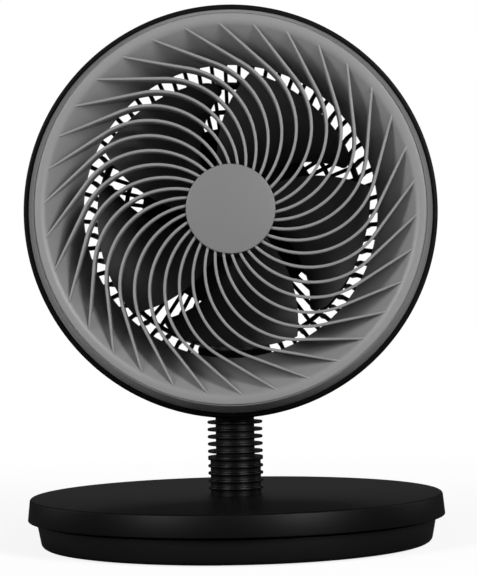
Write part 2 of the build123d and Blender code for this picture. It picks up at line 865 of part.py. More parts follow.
def rib_rings(first, last, core):
    """Four circles for each rib, as height and radius: root, tip, tip, root."""
    rings = []
    for n in range(first, last):
        middle = neck_base + first_rib + n * rib_pitch
        rings.append((middle - rib_root / 2, core))
        rings.append((middle - rib_tip / 2, rib_radius))
        rings.append((middle + rib_tip / 2, rib_radius))
        rings.append((middle + rib_root / 2, core))
    return rings


with BuildPart() as neck_post:
    post_rings = rib_rings(0, post_rib_count, neck_core_radius)
    post_ends = [(neck_base, neck_core_radius), (shoulder, rib_radius)]
    for ring_height, ring_radius in [post_ends[0], *post_rings[:-2], post_ends[1]]:
        with BuildSketch(Plane.XY.offset(ring_height)):
            Circle(ring_radius)
    loft(ruled=True)
    with BuildSketch(Plane.XY.offset(shoulder)):
        Circle(bellows_bore_radius - seat_gap)
        Rectangle(2 * (bellows_bore_half_width - seat_gap), 2 * bellows_bore_radius, mode=Mode.INTERSECT)
    extrude(amount=knuckle_floor - shoulder)
    with BuildSketch(Plane.YZ.offset(-ear_outer)):
        with Locations((0, hinge_height)):
            Circle(knuckle_radius)
        with Locations((0, (shoulder + hinge_height) / 2)):
            Rectangle(2 * knuckle_radius, hinge_height - shoulder)
        with Locations((0, hinge_height)):
            Circle(pin_radius, mode=Mode.SUBTRACT)
    extrude(amount=2 * ear_outer)
    with BuildSketch(Plane.YZ.offset(-ear_inner)):
        with Locations((0, knuckle_floor + knuckle_radius + rib_radius / 2)):
            Rectangle(2 * rib_radius, 2 * knuckle_radius + rib_radius)
    extrude(amount=2 * ear_inner, mode=Mode.SUBTRACT)
    with BuildSketch(Plane.XY.offset(neck_base)):
        with Locations((0, wire_offset)):
            Circle(wire_radius)
    extrude(amount=hinge_height - neck_base, mode=Mode.SUBTRACT)
    with BuildSketch(Plane.XY.offset(neck_base)):
        with Locations(post_screw_places):
            Circle(screw_radius + thread_gap)
    extrude(amount=post_screw_length - turntable_plate, mode=Mode.SUBTRACT)
finish(neck_post, "neck_post")

with BuildPart() as neck_bellows:
    bellows_rings = rib_rings(post_rib_count, rib_count, neck_core_radius)
    bellows_bottom = shoulder + flat_gap
    bellows_top = neck_top - seat_gap
    bellows_ends = [(bellows_bottom, neck_core_radius), (bellows_top, bellows_mouth_radius)]
    for ring_height, ring_radius in [bellows_ends[0], *bellows_rings, bellows_ends[1]]:
        with BuildSketch(Plane.XY.offset(ring_height)):
            Circle(ring_radius)
    loft(ruled=True)
    root_heights = [height for height, radius in bellows_rings if radius == neck_core_radius]
    slot_bottoms = [bellows_bottom, *root_heights[1::2]]
    slot_tops = [*root_heights[::2], bellows_top]
    for slot_bottom, slot_top in zip(slot_bottoms, slot_tops):
        with BuildSketch(Plane.XY.offset(slot_bottom)):
            Circle(rib_radius)
            Rectangle(2 * bellows_half_width, 2 * rib_radius, mode=Mode.SUBTRACT)
        extrude(amount=slot_top - slot_bottom, mode=Mode.SUBTRACT)
    with BuildSketch(Plane.XY.offset(shoulder)):
        Circle(bellows_bore_radius)
        Rectangle(2 * bellows_bore_half_width, 2 * bellows_bore_radius, mode=Mode.INTERSECT)
    extrude(amount=neck_top - shoulder, mode=Mode.SUBTRACT)
finish(neck_bellows, "neck_bellows")

# ---- tilt arm: tongue in the hinge, stem through the boss and flange inside the housing ----
with BuildPart() as tilt_arm:
    with BuildSketch(Plane.YZ.offset(-tongue_half_width)):
        with Locations((0, hinge_height)):
            Circle(knuckle_radius)
        with Locations((0, (hinge_height + stem_bottom) / 2)):
            Rectangle(2 * knuckle_radius, stem_bottom - hinge_height)
    extrude(amount=2 * tongue_half_width)
    with BuildSketch(Plane.XY.offset(stem_bottom)):
        Circle(stem_radius)
    extrude(amount=arm_seat - stem_bottom)
    with BuildSketch(Plane.XY.offset(arm_seat)):
        Circle(arm_flange_radius)
        with Locations(arm_screw_places):
            Circle(screw_radius + thread_gap, mode=Mode.SUBTRACT)
    extrude(amount=arm_flange_thickness)
    with BuildSketch(Plane.YZ.offset(-tongue_half_width)):
        with Locations((0, hinge_height)):
            Circle(pin_radius + running_gap)
    extrude(amount=2 * tongue_half_width, mode=Mode.SUBTRACT)
    with BuildSketch(Plane.XY.offset(stem_bottom)):
        with Locations((0, wire_offset)):
            Circle(wire_radius)
    extrude(amount=arm_seat + arm_flange_thickness - stem_bottom, mode=Mode.SUBTRACT)
finish(tilt_arm, "tilt_arm")

with BuildPart() as arm_screws:
    add(
        screws(
            Plane.XY.offset(arm_seat + arm_flange_thickness),
            arm_screw_places,
            screw_radius,
            arm_screw_length,
            screw_head_radius,
            screw_head_height,
        )
    )
finish(arm_screws, "arm_screws")

with BuildPart() as hinge_pin:
    with BuildSketch(Plane.YZ.offset(-ear_outer - pin_head_height)):
        with Locations((0, hinge_height)):
            Circle(pin_head_radius)
    extrude(amount=pin_head_height)
    with BuildSketch(Plane.YZ.offset(-ear_outer)):
        with Locations((0, hinge_height)):
            Circle(pin_radius)
    extrude(amount=2 * ear_outer + pin_nut_height)
finish(hinge_pin, "hinge_pin")

with BuildPart() as hinge_nut:
    with BuildSketch(Plane.YZ.offset(ear_outer)):
        with Locations((0, hinge_height)):
            RegularPolygon(pin_head_radius, 6)
            Circle(pin_radius, mode=Mode.SUBTRACT)
    extrude(amount=pin_nut_height)
finish(hinge_nut, "hinge_nut")

with BuildPart() as friction_washers:
    for washer_start in (tongue_half_width + flat_gap, -tongue_half_width - flat_gap - washer_thickness):
        with BuildSketch(Plane.YZ.offset(washer_start)):
            with Locations((0, hinge_height)):
                Circle(knuckle_radius)
                Circle(pin_radius, mode=Mode.SUBTRACT)
        extrude(amount=washer_thickness)
finish(friction_washers, "friction_washers")

# ---- turntable: wide dished disc that turns on the base and carries the neck ----
turntable_underside = turntable_top - turntable_plate
glide_top = deck_top + glide_thickness
collar_bottom = deck_top - deck_thickness - spindle_collar_drop
spindle_radius = spindle_inner_radius + spindle_wall
spindle_bottom = collar_bottom - moving_gap
spindle_middle = spindle_inner_radius + spindle_wall / 2
retainer_places = around(spindle_middle, retainer_screw_count, 90)
gear_screw_places = around(gear_screw_circle, gear_screw_count, 30)
ring_gear_bottom = turntable_underside - gear_thickness

with BuildPart() as turntable_cover:
    with BuildSketch(Plane.XZ) as turntable_section:
        Polygon(
            (0, turntable_top),
            (turntable_top_radius, turntable_top),
            (turntable_radius, turntable_bottom),
            (turntable_radius - turntable_wall, turntable_bottom),
            (turntable_top_radius - turntable_wall, turntable_underside),
            (0, turntable_underside),
            align=None,
        )
        fillet(turntable_section.vertices().group_by(Axis.Y)[-1].sort_by(Axis.X)[-1], turntable_round)
    revolve(axis=Axis.Z)
    with BuildSketch(Plane.XY.offset(turntable_underside)):
        Circle(track_radius + track_width / 2)
        Circle(track_radius - track_width / 2, mode=Mode.SUBTRACT)
    extrude(amount=-(turntable_underside - glide_top - flat_gap))
    with BuildSketch(Plane.XY.offset(turntable_underside)):
        Circle(spindle_radius)
        Circle(spindle_inner_radius, mode=Mode.SUBTRACT)
    extrude(amount=-(turntable_underside - spindle_bottom))
    with BuildSketch(Plane.XY.offset(turntable_underside)):
        with Locations(post_screw_places):
            Circle(screw_radius + thread_gap)
        with Locations((0, wire_offset)):
            Circle(wire_radius)
    extrude(amount=turntable_plate, mode=Mode.SUBTRACT)
    with BuildSketch(Plane.XY.offset(turntable_underside)):
        with Locations(gear_screw_places):
            Circle(small_screw_radius + thread_gap)
    extrude(amount=gear_screw_length - gear_thickness, mode=Mode.SUBTRACT)
    with BuildSketch(Plane.XY.offset(spindle_bottom)):
        with Locations(retainer_places):
            Circle(small_screw_radius + thread_gap)
    extrude(amount=retainer_screw_length - retainer_thickness, mode=Mode.SUBTRACT)
finish(turntable_cover, "turntable_cover")

with BuildPart() as post_screws:
    add(
        screws(
            Plane.XY.offset(turntable_underside).rotated((180, 0, 0)),
            [(x, -y) for x, y in post_screw_places],
            screw_radius,
            post_screw_length,
            screw_head_radius,
            screw_head_height,
        )
    )
finish(post_screws, "post_screws")

with BuildPart() as retaining_plate:
    with BuildSketch(Plane.XY.offset(spindle_bottom)):
        Circle(retainer_radius)
        Circle(spindle_inner_radius, mode=Mode.SUBTRACT)
        with Locations(retainer_places):
            Circle(small_screw_radius + thread_gap, mode=Mode.SUBTRACT)
    extrude(amount=-retainer_thickness)
finish(retaining_plate, "retaining_plate")

with BuildPart() as retainer_screws:
    add(
        screws(
            Plane.XY.offset(spindle_bottom - retainer_thickness).rotated((180, 0, 0)),
            [(x, -y) for x, y in retainer_places],
            small_screw_radius,
            retainer_screw_length,
            small_screw_head_radius,
            small_screw_head_height,
        )
    )
finish(retainer_screws, "retainer_screws")

# ---- swing drive: ring gear under the turntable, pinion on the gearmotor in the base ----
ring_pitch_radius = gear_module * ring_teeth / 2
pinion_pitch_radius = gear_module * pinion_teeth / 2
pinion_place = ring_pitch_radius + pinion_pitch_radius
motor_place = pinion_place + swing_motor_offset
swing_motor_bottom = foot_stand + floor_thickness + seat_gap
swing_motor_top = swing_motor_bottom + swing_motor_height


def involute(angle):
    """Involute of an angle in radians."""
    return tan(angle) - angle


def tooth_points(teeth, start):
    """Outline of a spur gear: each flank follows the involute from the root to the tip."""
    pitch = gear_module * teeth / 2
    base = pitch * cos(radians(pressure_angle))
    root = pitch - dedendum * gear_module
    tip = pitch + addendum * gear_module
    half_tooth = pi / (2 * teeth) - backlash / (4 * pitch)
    levels = [root, max(base, root) + backlash / 4, (base + pitch) / 2, pitch, (pitch + tip) / 2, tip]
    flank = []
    for level in sorted(levels):
        rolled = involute(acos(min(1, base / level)))
        flank.append((level, half_tooth + involute(radians(pressure_angle)) - rolled))
    points = []
    for n in range(teeth):
        centre = radians(start) + 2 * pi * n / teeth
        for level, half_angle in flank:
            points.append((level * cos(centre - half_angle), level * sin(centre - half_angle)))
        for level, half_angle in reversed(flank):
            points.append((level * cos(centre + half_angle), level * sin(centre + half_angle)))
    return points


with BuildPart() as ring_gear:
    with BuildSketch(Plane.XY.offset(ring_gear_bottom)):
        Polygon(*tooth_points(ring_teeth, 0), align=None)
        Circle(spindle_radius + seat_gap, mode=Mode.SUBTRACT)
        with Locations(gear_screw_places):
            Circle(small_screw_radius + thread_gap, mode=Mode.SUBTRACT)
    extrude(amount=gear_thickness)
finish(ring_gear, "ring_gear")

with BuildPart() as gear_screws:
    add(
        screws(
            Plane.XY.offset(ring_gear_bottom).rotated((180, 0, 0)),
            [(x, -y) for x, y in gear_screw_places],
            small_screw_radius,
            gear_screw_length,
            small_screw_head_radius,
            small_screw_head_height,
        )
    )
finish(gear_screws, "gear_screws")

pinion_gap = 180 / pinion_teeth
with BuildPart() as swing_pinion:
    with BuildSketch(Plane(origin=(pinion_place, 0, ring_gear_bottom))):
        Polygon(*tooth_points(pinion_teeth, 180 - pinion_gap), align=None)
    extrude(amount=gear_thickness - moving_gap)
    with BuildSketch(Plane(origin=(pinion_place, 0, ring_gear_bottom))):
        Circle(shaft_radius)
    extrude(amount=-pinion_stub_length)
finish(swing_pinion, "swing_pinion")

with BuildPart() as swing_motor:
    with BuildSketch(Plane(origin=(motor_place, 0, swing_motor_bottom))):
        Circle(swing_motor_radius)
    extrude(amount=swing_motor_height)
    with BuildSketch(Plane(origin=(motor_place, 0, deck_top))):
        SlotCenterToCenter(2 * swing_ear_reach, swing_ear_width, rotation=90)
        with Locations((0, swing_ear_reach), (0, -swing_ear_reach)):
            Circle(small_screw_radius + thread_gap, mode=Mode.SUBTRACT)
    extrude(amount=swing_ear_thickness)
    with BuildSketch(Plane(origin=(pinion_place, 0, swing_motor_top))):
        Circle(swing_collar_radius)
    extrude(amount=swing_collar_height)
    with BuildSketch(Plane(origin=(pinion_place, 0, swing_motor_top + swing_collar_height))):
        Circle(shaft_radius + running_gap)
    extrude(amount=-pinion_stub_length, mode=Mode.SUBTRACT)
finish(swing_motor, "swing_motor")

swing_screw_places = [(motor_place, swing_ear_reach), (motor_place, -swing_ear_reach)]
swing_screw_length = swing_ear_thickness + deck_thickness
with BuildPart() as swing_motor_screws:
    add(
        screws(
            Plane.XY.offset(deck_top + swing_ear_thickness),
            swing_screw_places,
            small_screw_radius,
            swing_screw_length,
            small_screw_head_radius,
            small_screw_head_height,
        )
    )
finish(swing_motor_screws, "swing_motor_screws")

with BuildPart() as glide_ring:
    with BuildSketch(Plane.XY.offset(deck_top)):
        Circle(track_radius + track_width / 2)
        Circle(track_radius - track_width / 2, mode=Mode.SUBTRACT)
    extrude(amount=glide_thickness)
finish(glide_ring, "glide_ring")

# ---- base shell: deck and side wall, with posts for the floor, the ballast and the board ----
deck_bottom = deck_top - deck_thickness
floor_top = foot_stand + floor_thickness
ballast_top = ballast_bottom + ballast_thickness
board_top = control_height - switch_depth / 2
board_bottom = board_top - board_thickness
base_screw_places = around(base_screw_circle, base_screw_count)
ballast_screw_places = around(ballast_screw_circle, ballast_screw_count, 30)
board_screw_row = board_middle - board_screw_circle_offset
board_screw_places = [(side * board_screw_spacing / 2, board_screw_row) for side in (-1, 1)]
control_share = (control_height - foot_stand) / (deck_top - foot_stand)
wall_at_controls = base_bottom_radius + (base_top_radius - base_bottom_radius) * control_share
inner_lean = (base_top_radius - base_bottom_radius) / (deck_bottom - floor_top)
inner_wall_at_controls = base_bottom_radius - base_wall + inner_lean * (control_height - floor_top)
flange_sagitta = button_flange_radius**2 / (2 * inner_wall_at_controls)
flange_face = inner_wall_at_controls - seat_gap - inner_lean * button_flange_radius - flange_sagitta
switch_face = flange_face - button_flange_thickness - button_stem_length - plunger_stand
jack_face = wall_at_controls - seat_gap
jack_end = jack_face - jack_length


def radial_plane(angle, reach):
    """Upright plane at the controls' height, facing out from the base at an angle from the jack."""
    direction = Vector(sin(radians(angle)), cos(radians(angle)), 0)
    origin = direction * reach + Vector(0, 0, control_height)
    return Plane(origin=origin, x_dir=direction.cross(Vector(0, 0, 1)), z_dir=direction)


with BuildPart() as base_shell:
    with BuildSketch(Plane.XZ) as shell_section:
        Polygon(
            (spindle_radius + moving_gap, deck_top),
            (base_top_radius, deck_top),
            (base_bottom_radius, foot_stand),
            (floor_radius + seat_gap, foot_stand),
            (floor_radius + seat_gap, floor_top),
            (base_bottom_radius - base_wall, floor_top),
            (base_top_radius - base_wall, deck_bottom),
            (spindle_radius + moving_gap + spindle_collar_wall, deck_bottom),
            (spindle_radius + moving_gap + spindle_collar_wall, collar_bottom),
            (spindle_radius + moving_gap, collar_bottom),
            align=None,
        )
        fillet(shell_section.vertices().group_by(Axis.Y)[0].sort_by(Axis.X)[-1], base_round)
    revolve(axis=Axis.Z)
    with BuildSketch(Plane.XY.offset(floor_top)):
        with Locations(base_screw_places):
            Circle(base_post_radius)
    extrude(amount=deck_bottom - floor_top)
    with BuildSketch(Plane.XY.offset(ballast_top)):
        with Locations(ballast_screw_places):
            Circle(ballast_post_radius)
    extrude(amount=deck_bottom - ballast_top)
    with BuildSketch(Plane.XY.offset(board_top)):
        with Locations(board_screw_places):
            Circle(base_post_radius)
    extrude(amount=deck_bottom - board_top)
    with BuildSketch(Plane.XY.offset(floor_top)):
        with Locations(base_screw_places):
            Circle(screw_radius + thread_gap)
    extrude(amount=base_screw_length - floor_thickness + screw_head_height, mode=Mode.SUBTRACT)
    with BuildSketch(Plane.XY.offset(ballast_top)):
        with Locations(ballast_screw_places):
            Circle(screw_radius + thread_gap)
    extrude(amount=ballast_screw_length - ballast_thickness, mode=Mode.SUBTRACT)
    with BuildSketch(Plane.XY.offset(board_top)):
        with Locations(board_screw_places):
            Circle(small_screw_radius + thread_gap)
    extrude(amount=board_screw_length - board_thickness, mode=Mode.SUBTRACT)
    with BuildSketch(Plane.XY.offset(deck_bottom)):
        with Locations((motor_place, 0)):
            Circle(swing_motor_radius + seat_gap)
        with Locations(swing_screw_places):
            Circle(small_screw_radius + thread_gap)
    extrude(amount=deck_thickness, mode=Mode.SUBTRACT)
    with BuildSketch(radial_plane(0, wall_at_controls - 2 * base_wall)):
        Circle(jack_radius)
    extrude(amount=3 * base_wall, mode=Mode.SUBTRACT)
    for side_angle in (-button_angle, button_angle):
        with BuildSketch(radial_plane(side_angle, wall_at_controls - 2 * base_wall)):
            Circle(button_radius + seat_gap)
        extrude(amount=3 * base_wall, mode=Mode.SUBTRACT)
finish(base_shell, "base_shell")

# ---- ballast plate: steel ring that keeps the base down, cut round the motor and the board ----
with BuildPart() as ballast_plate:
    with BuildSketch(Plane.XY.offset(ballast_bottom)):
        Circle(ballast_outer_radius)
        Circle(ballast_inner_radius, mode=Mode.SUBTRACT)
        with Locations((motor_place, 0)):
            Circle(swing_motor_radius + 2 * moving_gap, mode=Mode.SUBTRACT)
        with Locations((0, board_middle + board_length / 2)):
            Rectangle(
                board_width + 2 * base_post_radius,
                2 * board_length + 2 * base_post_radius,
                mode=Mode.SUBTRACT,
            )
        with Locations(ballast_screw_places):
            Circle(screw_radius + thread_gap, mode=Mode.SUBTRACT)
        with Locations(base_screw_places):
            Circle(base_post_radius + moving_gap, mode=Mode.SUBTRACT)
    extrude(amount=ballast_thickness)
finish(ballast_plate, "ballast_plate")

with BuildPart() as ballast_screws:
    add(
        screws(
            Plane.XY.offset(ballast_bottom).rotated((180, 0, 0)),
            [(x, -y) for x, y in ballast_screw_places],
            screw_radius,
            ballast_screw_length,
            screw_head_radius,
            screw_head_height,
        )
    )
finish(ballast_screws, "ballast_screws")

# ---- bottom cover: flat disc inside the wall, with seats for screws and feet ----
foot_places = [
    (foot_circle * cos(radians(foot_angle + n * 360 / foot_count)),
     foot_circle * sin(radians(foot_angle + n * 360 / foot_count)))
    for n in range(foot_count)
]
foot_span = degrees(foot_length / foot_circle)
with BuildSketch() as foot_outline:
    with BuildLine():
        foot_outer = CenterArc((0, 0), foot_circle + foot_width / 2, foot_angle - foot_span / 2, foot_span)
        foot_inner = CenterArc((0, 0), foot_circle - foot_width / 2, foot_angle - foot_span / 2, foot_span)
        Line(foot_outer @ 0, foot_inner @ 0)
        Line(foot_outer @ 1, foot_inner @ 1)
    make_face()
    fillet(foot_outline.vertices(), foot_width / 4)

with BuildPart() as bottom_cover:
    with BuildSketch(Plane.XY.offset(foot_stand)):
        Circle(floor_radius)
        with Locations(base_screw_places):
            Circle(screw_radius + thread_gap, mode=Mode.SUBTRACT)
    extrude(amount=floor_thickness)
    with BuildSketch(Plane.XY.offset(foot_stand)):
        with Locations(base_screw_places):
            Circle(screw_head_radius + seat_gap)
    extrude(amount=screw_head_height, mode=Mode.SUBTRACT)
    with BuildSketch(Plane.XY.offset(foot_stand)):
        with PolarLocations(0, foot_count):
            add(foot_outline.sketch)
    extrude(amount=foot_recess, mode=Mode.SUBTRACT)
finish(bottom_cover, "bottom_cover")

with BuildPart() as rubber_feet:
    with BuildSketch():
        with PolarLocations(0, foot_count):
            add(foot_outline.sketch)
    extrude(amount=foot_stand + foot_recess)
finish(rubber_feet, "rubber_feet")

with BuildPart() as base_screws:
    add(
        screws(
            Plane.XY.offset(foot_stand + screw_head_height).rotated((180, 0, 0)),
            [(x, -y) for x, y in base_screw_places],
            screw_radius,
            base_screw_length,
            screw_head_radius,
            screw_head_height,
        )
    )
finish(base_screws, "base_screws")

# ---- control board with two side-acting switches ----
with BuildPart() as control_board:
    with BuildSketch(Plane.XY.offset(board_bottom)):
        with Locations((0, board_middle)):
            Rectangle(board_width, board_length)
        with Locations((0, jack_end - moving_gap + board_length / 2)):
            Rectangle(2 * (jack_radius + moving_gap), board_length, mode=Mode.SUBTRACT)
        with Locations(board_screw_places):
            Circle(small_screw_radius + thread_gap, mode=Mode.SUBTRACT)
    extrude(amount=board_thickness)
finish(control_board, "control_board")

with BuildPart() as board_screws:
    add(
        screws(
            Plane.XY.offset(board_bottom).rotated((180, 0, 0)),
            [(x, -y) for x, y in board_screw_places],
            small_screw_radius,
            board_screw_length,
            small_screw_head_radius,
            small_screw_head_height,
        )
    )
finish(board_screws, "board_screws")

with BuildPart() as tact_switches:
    for side_angle in (-button_angle, button_angle):
        with BuildSketch(radial_plane(side_angle, switch_face)):
            Rectangle(switch_width, switch_depth)
        extrude(amount=-switch_depth)
        with BuildSketch(radial_plane(side_angle, switch_face)):
            Circle(plunger_radius + thread_gap)
        extrude(amount=-plunger_length, mode=Mode.SUBTRACT)
finish(tact_switches, "tact_switches")

# ---- push buttons: cap through the wall, flange behind it, stem on the switch's plunger ----
for button_name, side_angle in (("speed", -button_angle), ("swing", button_angle)):
    with BuildPart() as push_button:
        with BuildSketch(radial_plane(side_angle, flange_face)):
            Circle(button_radius)
        extrude(amount=wall_at_controls - flange_face + button_stand)
        fillet(push_button.edges().filter_by(GeomType.CIRCLE).sort_by(Axis.Y)[-1], button_stand / 2)
        with BuildSketch(radial_plane(side_angle, flange_face)):
            Circle(button_flange_radius)
        extrude(amount=-button_flange_thickness)
        with BuildSketch(radial_plane(side_angle, flange_face - button_flange_thickness)):
            Circle(button_stem_radius)
        extrude(amount=-button_stem_length)
    finish(push_button, f"{button_name}_button")

    with BuildPart() as switch_plunger:
        with BuildSketch(radial_plane(side_angle, switch_face + plunger_stand)):
            Circle(plunger_radius)
        extrude(amount=-plunger_length)
    finish(switch_plunger, f"{button_name}_plunger")

# ---- power jack: barrel socket with a centre pin, flush with the back of the base ----
with BuildPart() as dc_jack:
    with BuildSketch(radial_plane(0, jack_face)):
        Circle(jack_radius)
    extrude(amount=-jack_length)
    with BuildSketch(radial_plane(0, jack_face)):
        Circle(jack_bore_radius)
        Circle(jack_pin_radius, mode=Mode.SUBTRACT)
    extrude(amount=-jack_bore_depth, mode=Mode.SUBTRACT)
    with BuildSketch(radial_plane(0, jack_face)):
        Circle(jack_pin_radius)
    extrude(amount=-(jack_bore_depth - jack_pin_length), mode=Mode.SUBTRACT)
finish(dc_jack, "dc_jack")
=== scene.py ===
from math import acos, asin, atan2, cos, radians, sin, sqrt, tau

import bmesh
import bpy
from mathutils import Matrix, Vector


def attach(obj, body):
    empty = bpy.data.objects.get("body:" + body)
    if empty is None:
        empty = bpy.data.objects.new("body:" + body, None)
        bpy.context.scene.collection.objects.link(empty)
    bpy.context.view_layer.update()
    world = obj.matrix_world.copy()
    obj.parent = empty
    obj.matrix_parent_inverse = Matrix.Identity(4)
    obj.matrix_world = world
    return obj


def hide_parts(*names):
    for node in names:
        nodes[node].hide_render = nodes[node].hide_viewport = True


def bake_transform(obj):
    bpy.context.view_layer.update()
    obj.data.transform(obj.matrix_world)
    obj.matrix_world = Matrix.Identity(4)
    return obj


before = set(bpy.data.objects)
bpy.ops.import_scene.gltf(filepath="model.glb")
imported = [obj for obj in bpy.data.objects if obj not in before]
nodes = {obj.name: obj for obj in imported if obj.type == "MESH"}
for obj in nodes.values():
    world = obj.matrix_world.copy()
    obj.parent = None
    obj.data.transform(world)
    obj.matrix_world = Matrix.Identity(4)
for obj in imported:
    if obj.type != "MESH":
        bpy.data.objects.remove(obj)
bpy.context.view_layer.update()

# ---- camera ----
# A long lens a little over a metre in front of the fan, level with the lower half of the grille.
# It is rolled by a degree, as the photograph is.
lens = bpy.data.cameras.new("camera")
lens.sensor_fit = "VERTICAL"
lens.sensor_height = 36
lens.lens = 140.25
camera = bpy.data.objects.new("camera", lens)
camera.location = (0.0035, -1.266, 0.144)
camera.rotation_euler = (radians(90), radians(1.1), 0)
bpy.context.scene.collection.objects.link(camera)
bpy.context.scene.camera = camera
bpy.context.scene.view_settings.view_transform = "Standard"

# ---- studio ----
# White paper floor under a white backdrop. A softbox stands to each side of the camera, a weak one to each
# side behind the fan, and one hangs high behind it.
aim_height = 0.15
softboxes = [
    ("left softbox", (-0.97, -1.09, 0.70), 0.50, 0.70, 11.0),
    ("right softbox", (0.87, -1.17, 0.70), 0.50, 0.70, 15.0),
    ("left rear softbox", (-1.35, 0.50, 0.50), 0.60, 0.70, 1.5),
    ("right rear softbox", (1.35, 0.50, 0.50), 0.60, 0.70, 1.5),
    ("top softbox", (0.0, 0.85, 1.35), 0.90, 0.90, 4.0),
]
for name, place, width, height, watts in softboxes:
    lamp = bpy.data.lights.new(name, "AREA")
    lamp.shape = "RECTANGLE"
    lamp.size = width
    lamp.size_y = height
    lamp.energy = watts
    softbox = bpy.data.objects.new(name, lamp)
    softbox.location = place
    aim = Vector((0, 0, aim_height)) - Vector(place)
    softbox.rotation_euler = aim.to_track_quat("-Z", "Y").to_euler()
    bpy.context.scene.collection.objects.link(softbox)


def linear(code):
    """Linear colour of an sRGB hex code."""
    parts = [int(code[n : n + 2], 16) / 255 for n in (1, 3, 5)]
    return [p / 12.92 if p <= 0.04045 else ((p + 0.055) / 1.055) ** 2.4 for p in parts] + [1.0]


def add_node(tree, kind, settings, links):
    """Adds a shader node, sets its properties or inputs and feeds its inputs from other nodes' outputs."""
    node = tree.nodes.new("ShaderNode" + kind)
    for key, value in settings.items():
        if isinstance(key, int) or key in node.inputs:
            node.inputs[key].default_value = value
        else:
            setattr(node, key, value)
    for key, source in links.items():
        tree.links.new(source, node.inputs[key])
    return node


def empty_material(name):
    """New node material with nothing in it yet, and its node tree."""
    material = bpy.data.materials.new(name)
    material.use_nodes = True
    material.node_tree.nodes.clear()
    return material, material.node_tree


# the camera sees plain white; gloss sees a dim room with a faint backdrop straight behind the fan, because
# the black plastics in the photograph mirror next to nothing
room_level = 0.04
backdrop_level = 0.12
backdrop_edge = 0.96
world = bpy.data.worlds.new("studio")
world.use_nodes = True
world.node_tree.nodes.clear()
rays = add_node(world.node_tree, "LightPath", {}, {})
direction = add_node(world.node_tree, "TexCoord", {}, {}).outputs["Generated"]
axes = add_node(world.node_tree, "SeparateXYZ", {}, {"Vector": direction})
behind = add_node(
    world.node_tree, "MapRange",
    {"From Min": backdrop_edge, "From Max": 1.0, "To Min": 0.0, "To Max": backdrop_level},
    {"Value": axes.outputs["Y"]},
)
mirrored = add_node(
    world.node_tree, "Math", {"operation": "MAXIMUM"},
    {0: rays.outputs["Is Glossy Ray"], 1: rays.outputs["Is Transmission Ray"]},
)
backdrop = add_node(
    world.node_tree, "Math", {"operation": "MULTIPLY"}, {0: mirrored.outputs[0], 1: behind.outputs[0]}
)
seen = add_node(
    world.node_tree, "Math", {"operation": "MAXIMUM"},
    {0: rays.outputs["Is Camera Ray"], 1: backdrop.outputs[0]},
)
level = add_node(
    world.node_tree, "MapRange", {"To Min": room_level, "To Max": 1.0}, {"Value": seen.outputs[0]}
)
sky = add_node(world.node_tree, "Background", {"Color": linear("#ffffff")}, {"Strength": level.outputs[0]})
add_node(world.node_tree, "OutputWorld", {}, {"Surface": sky.outputs[0]})
bpy.context.scene.world = world

# matt white paper, grey to gloss for the same reason; its white to the camera fades in away from the fan,
# which leaves the soft shadow at the fan's foot
paper_reach = 12
shadow_near, shadow_far = 0.15, 0.7
near_white = 0.85
paper, tree = empty_material("white_paper_floor")
rays = add_node(tree, "LightPath", {}, {})
shade = add_node(
    tree, "Mix", {"data_type": "RGBA", 6: linear("#f6f6f6"), 7: linear("#5c5c5c")},
    {0: rays.outputs["Is Glossy Ray"]},
)
lit = add_node(tree, "BsdfDiffuse", {"Roughness": 1.0}, {"Color": shade.outputs[2]})
glow = add_node(tree, "Emission", {"Color": linear("#ffffff"), "Strength": 1.0}, {})
spot = add_node(tree, "TexCoord", {}, {}).outputs["Object"]
away = add_node(tree, "VectorMath", {"operation": "LENGTH"}, {0: spot})
fade = add_node(
    tree, "MapRange", {"From Min": shadow_near, "From Max": shadow_far, "To Min": near_white, "To Max": 1.0},
    {"Value": away.outputs["Value"]},
)
share = add_node(
    tree, "Math", {"operation": "MULTIPLY"}, {0: rays.outputs["Is Camera Ray"], 1: fade.outputs[0]}
)
mixed = add_node(tree, "MixShader", {}, {"Fac": share.outputs[0], 1: lit.outputs[0], 2: glow.outputs[0]})
add_node(tree, "OutputMaterial", {}, {"Surface": mixed.outputs[0]})
paper_bm = bmesh.new()
bmesh.ops.create_grid(paper_bm, x_segments=2, y_segments=2, size=paper_reach)
floor_mesh = bpy.data.meshes.new("floor")
paper_bm.to_mesh(floor_mesh)
paper_bm.free()
floor_mesh.materials.append(paper)
floor = bpy.data.objects.new("floor", floor_mesh)
bpy.context.scene.collection.objects.link(floor)

# ---- front grille ----
# Flat ring, flared skirt, funnel and 34 curved vanes round a hub ring, injection-moulded in one piece of
# mid-grey ABS with a fine satin texture. Four bosses behind the ring take the screws from the back.
mm = 0.001
head_lean = radians(1.3)
head_centre = Matrix.Translation((0, -43 * mm, 187.4 * mm))
head = head_centre @ Matrix.Rotation(radians(90) - head_lean, 4, "X")


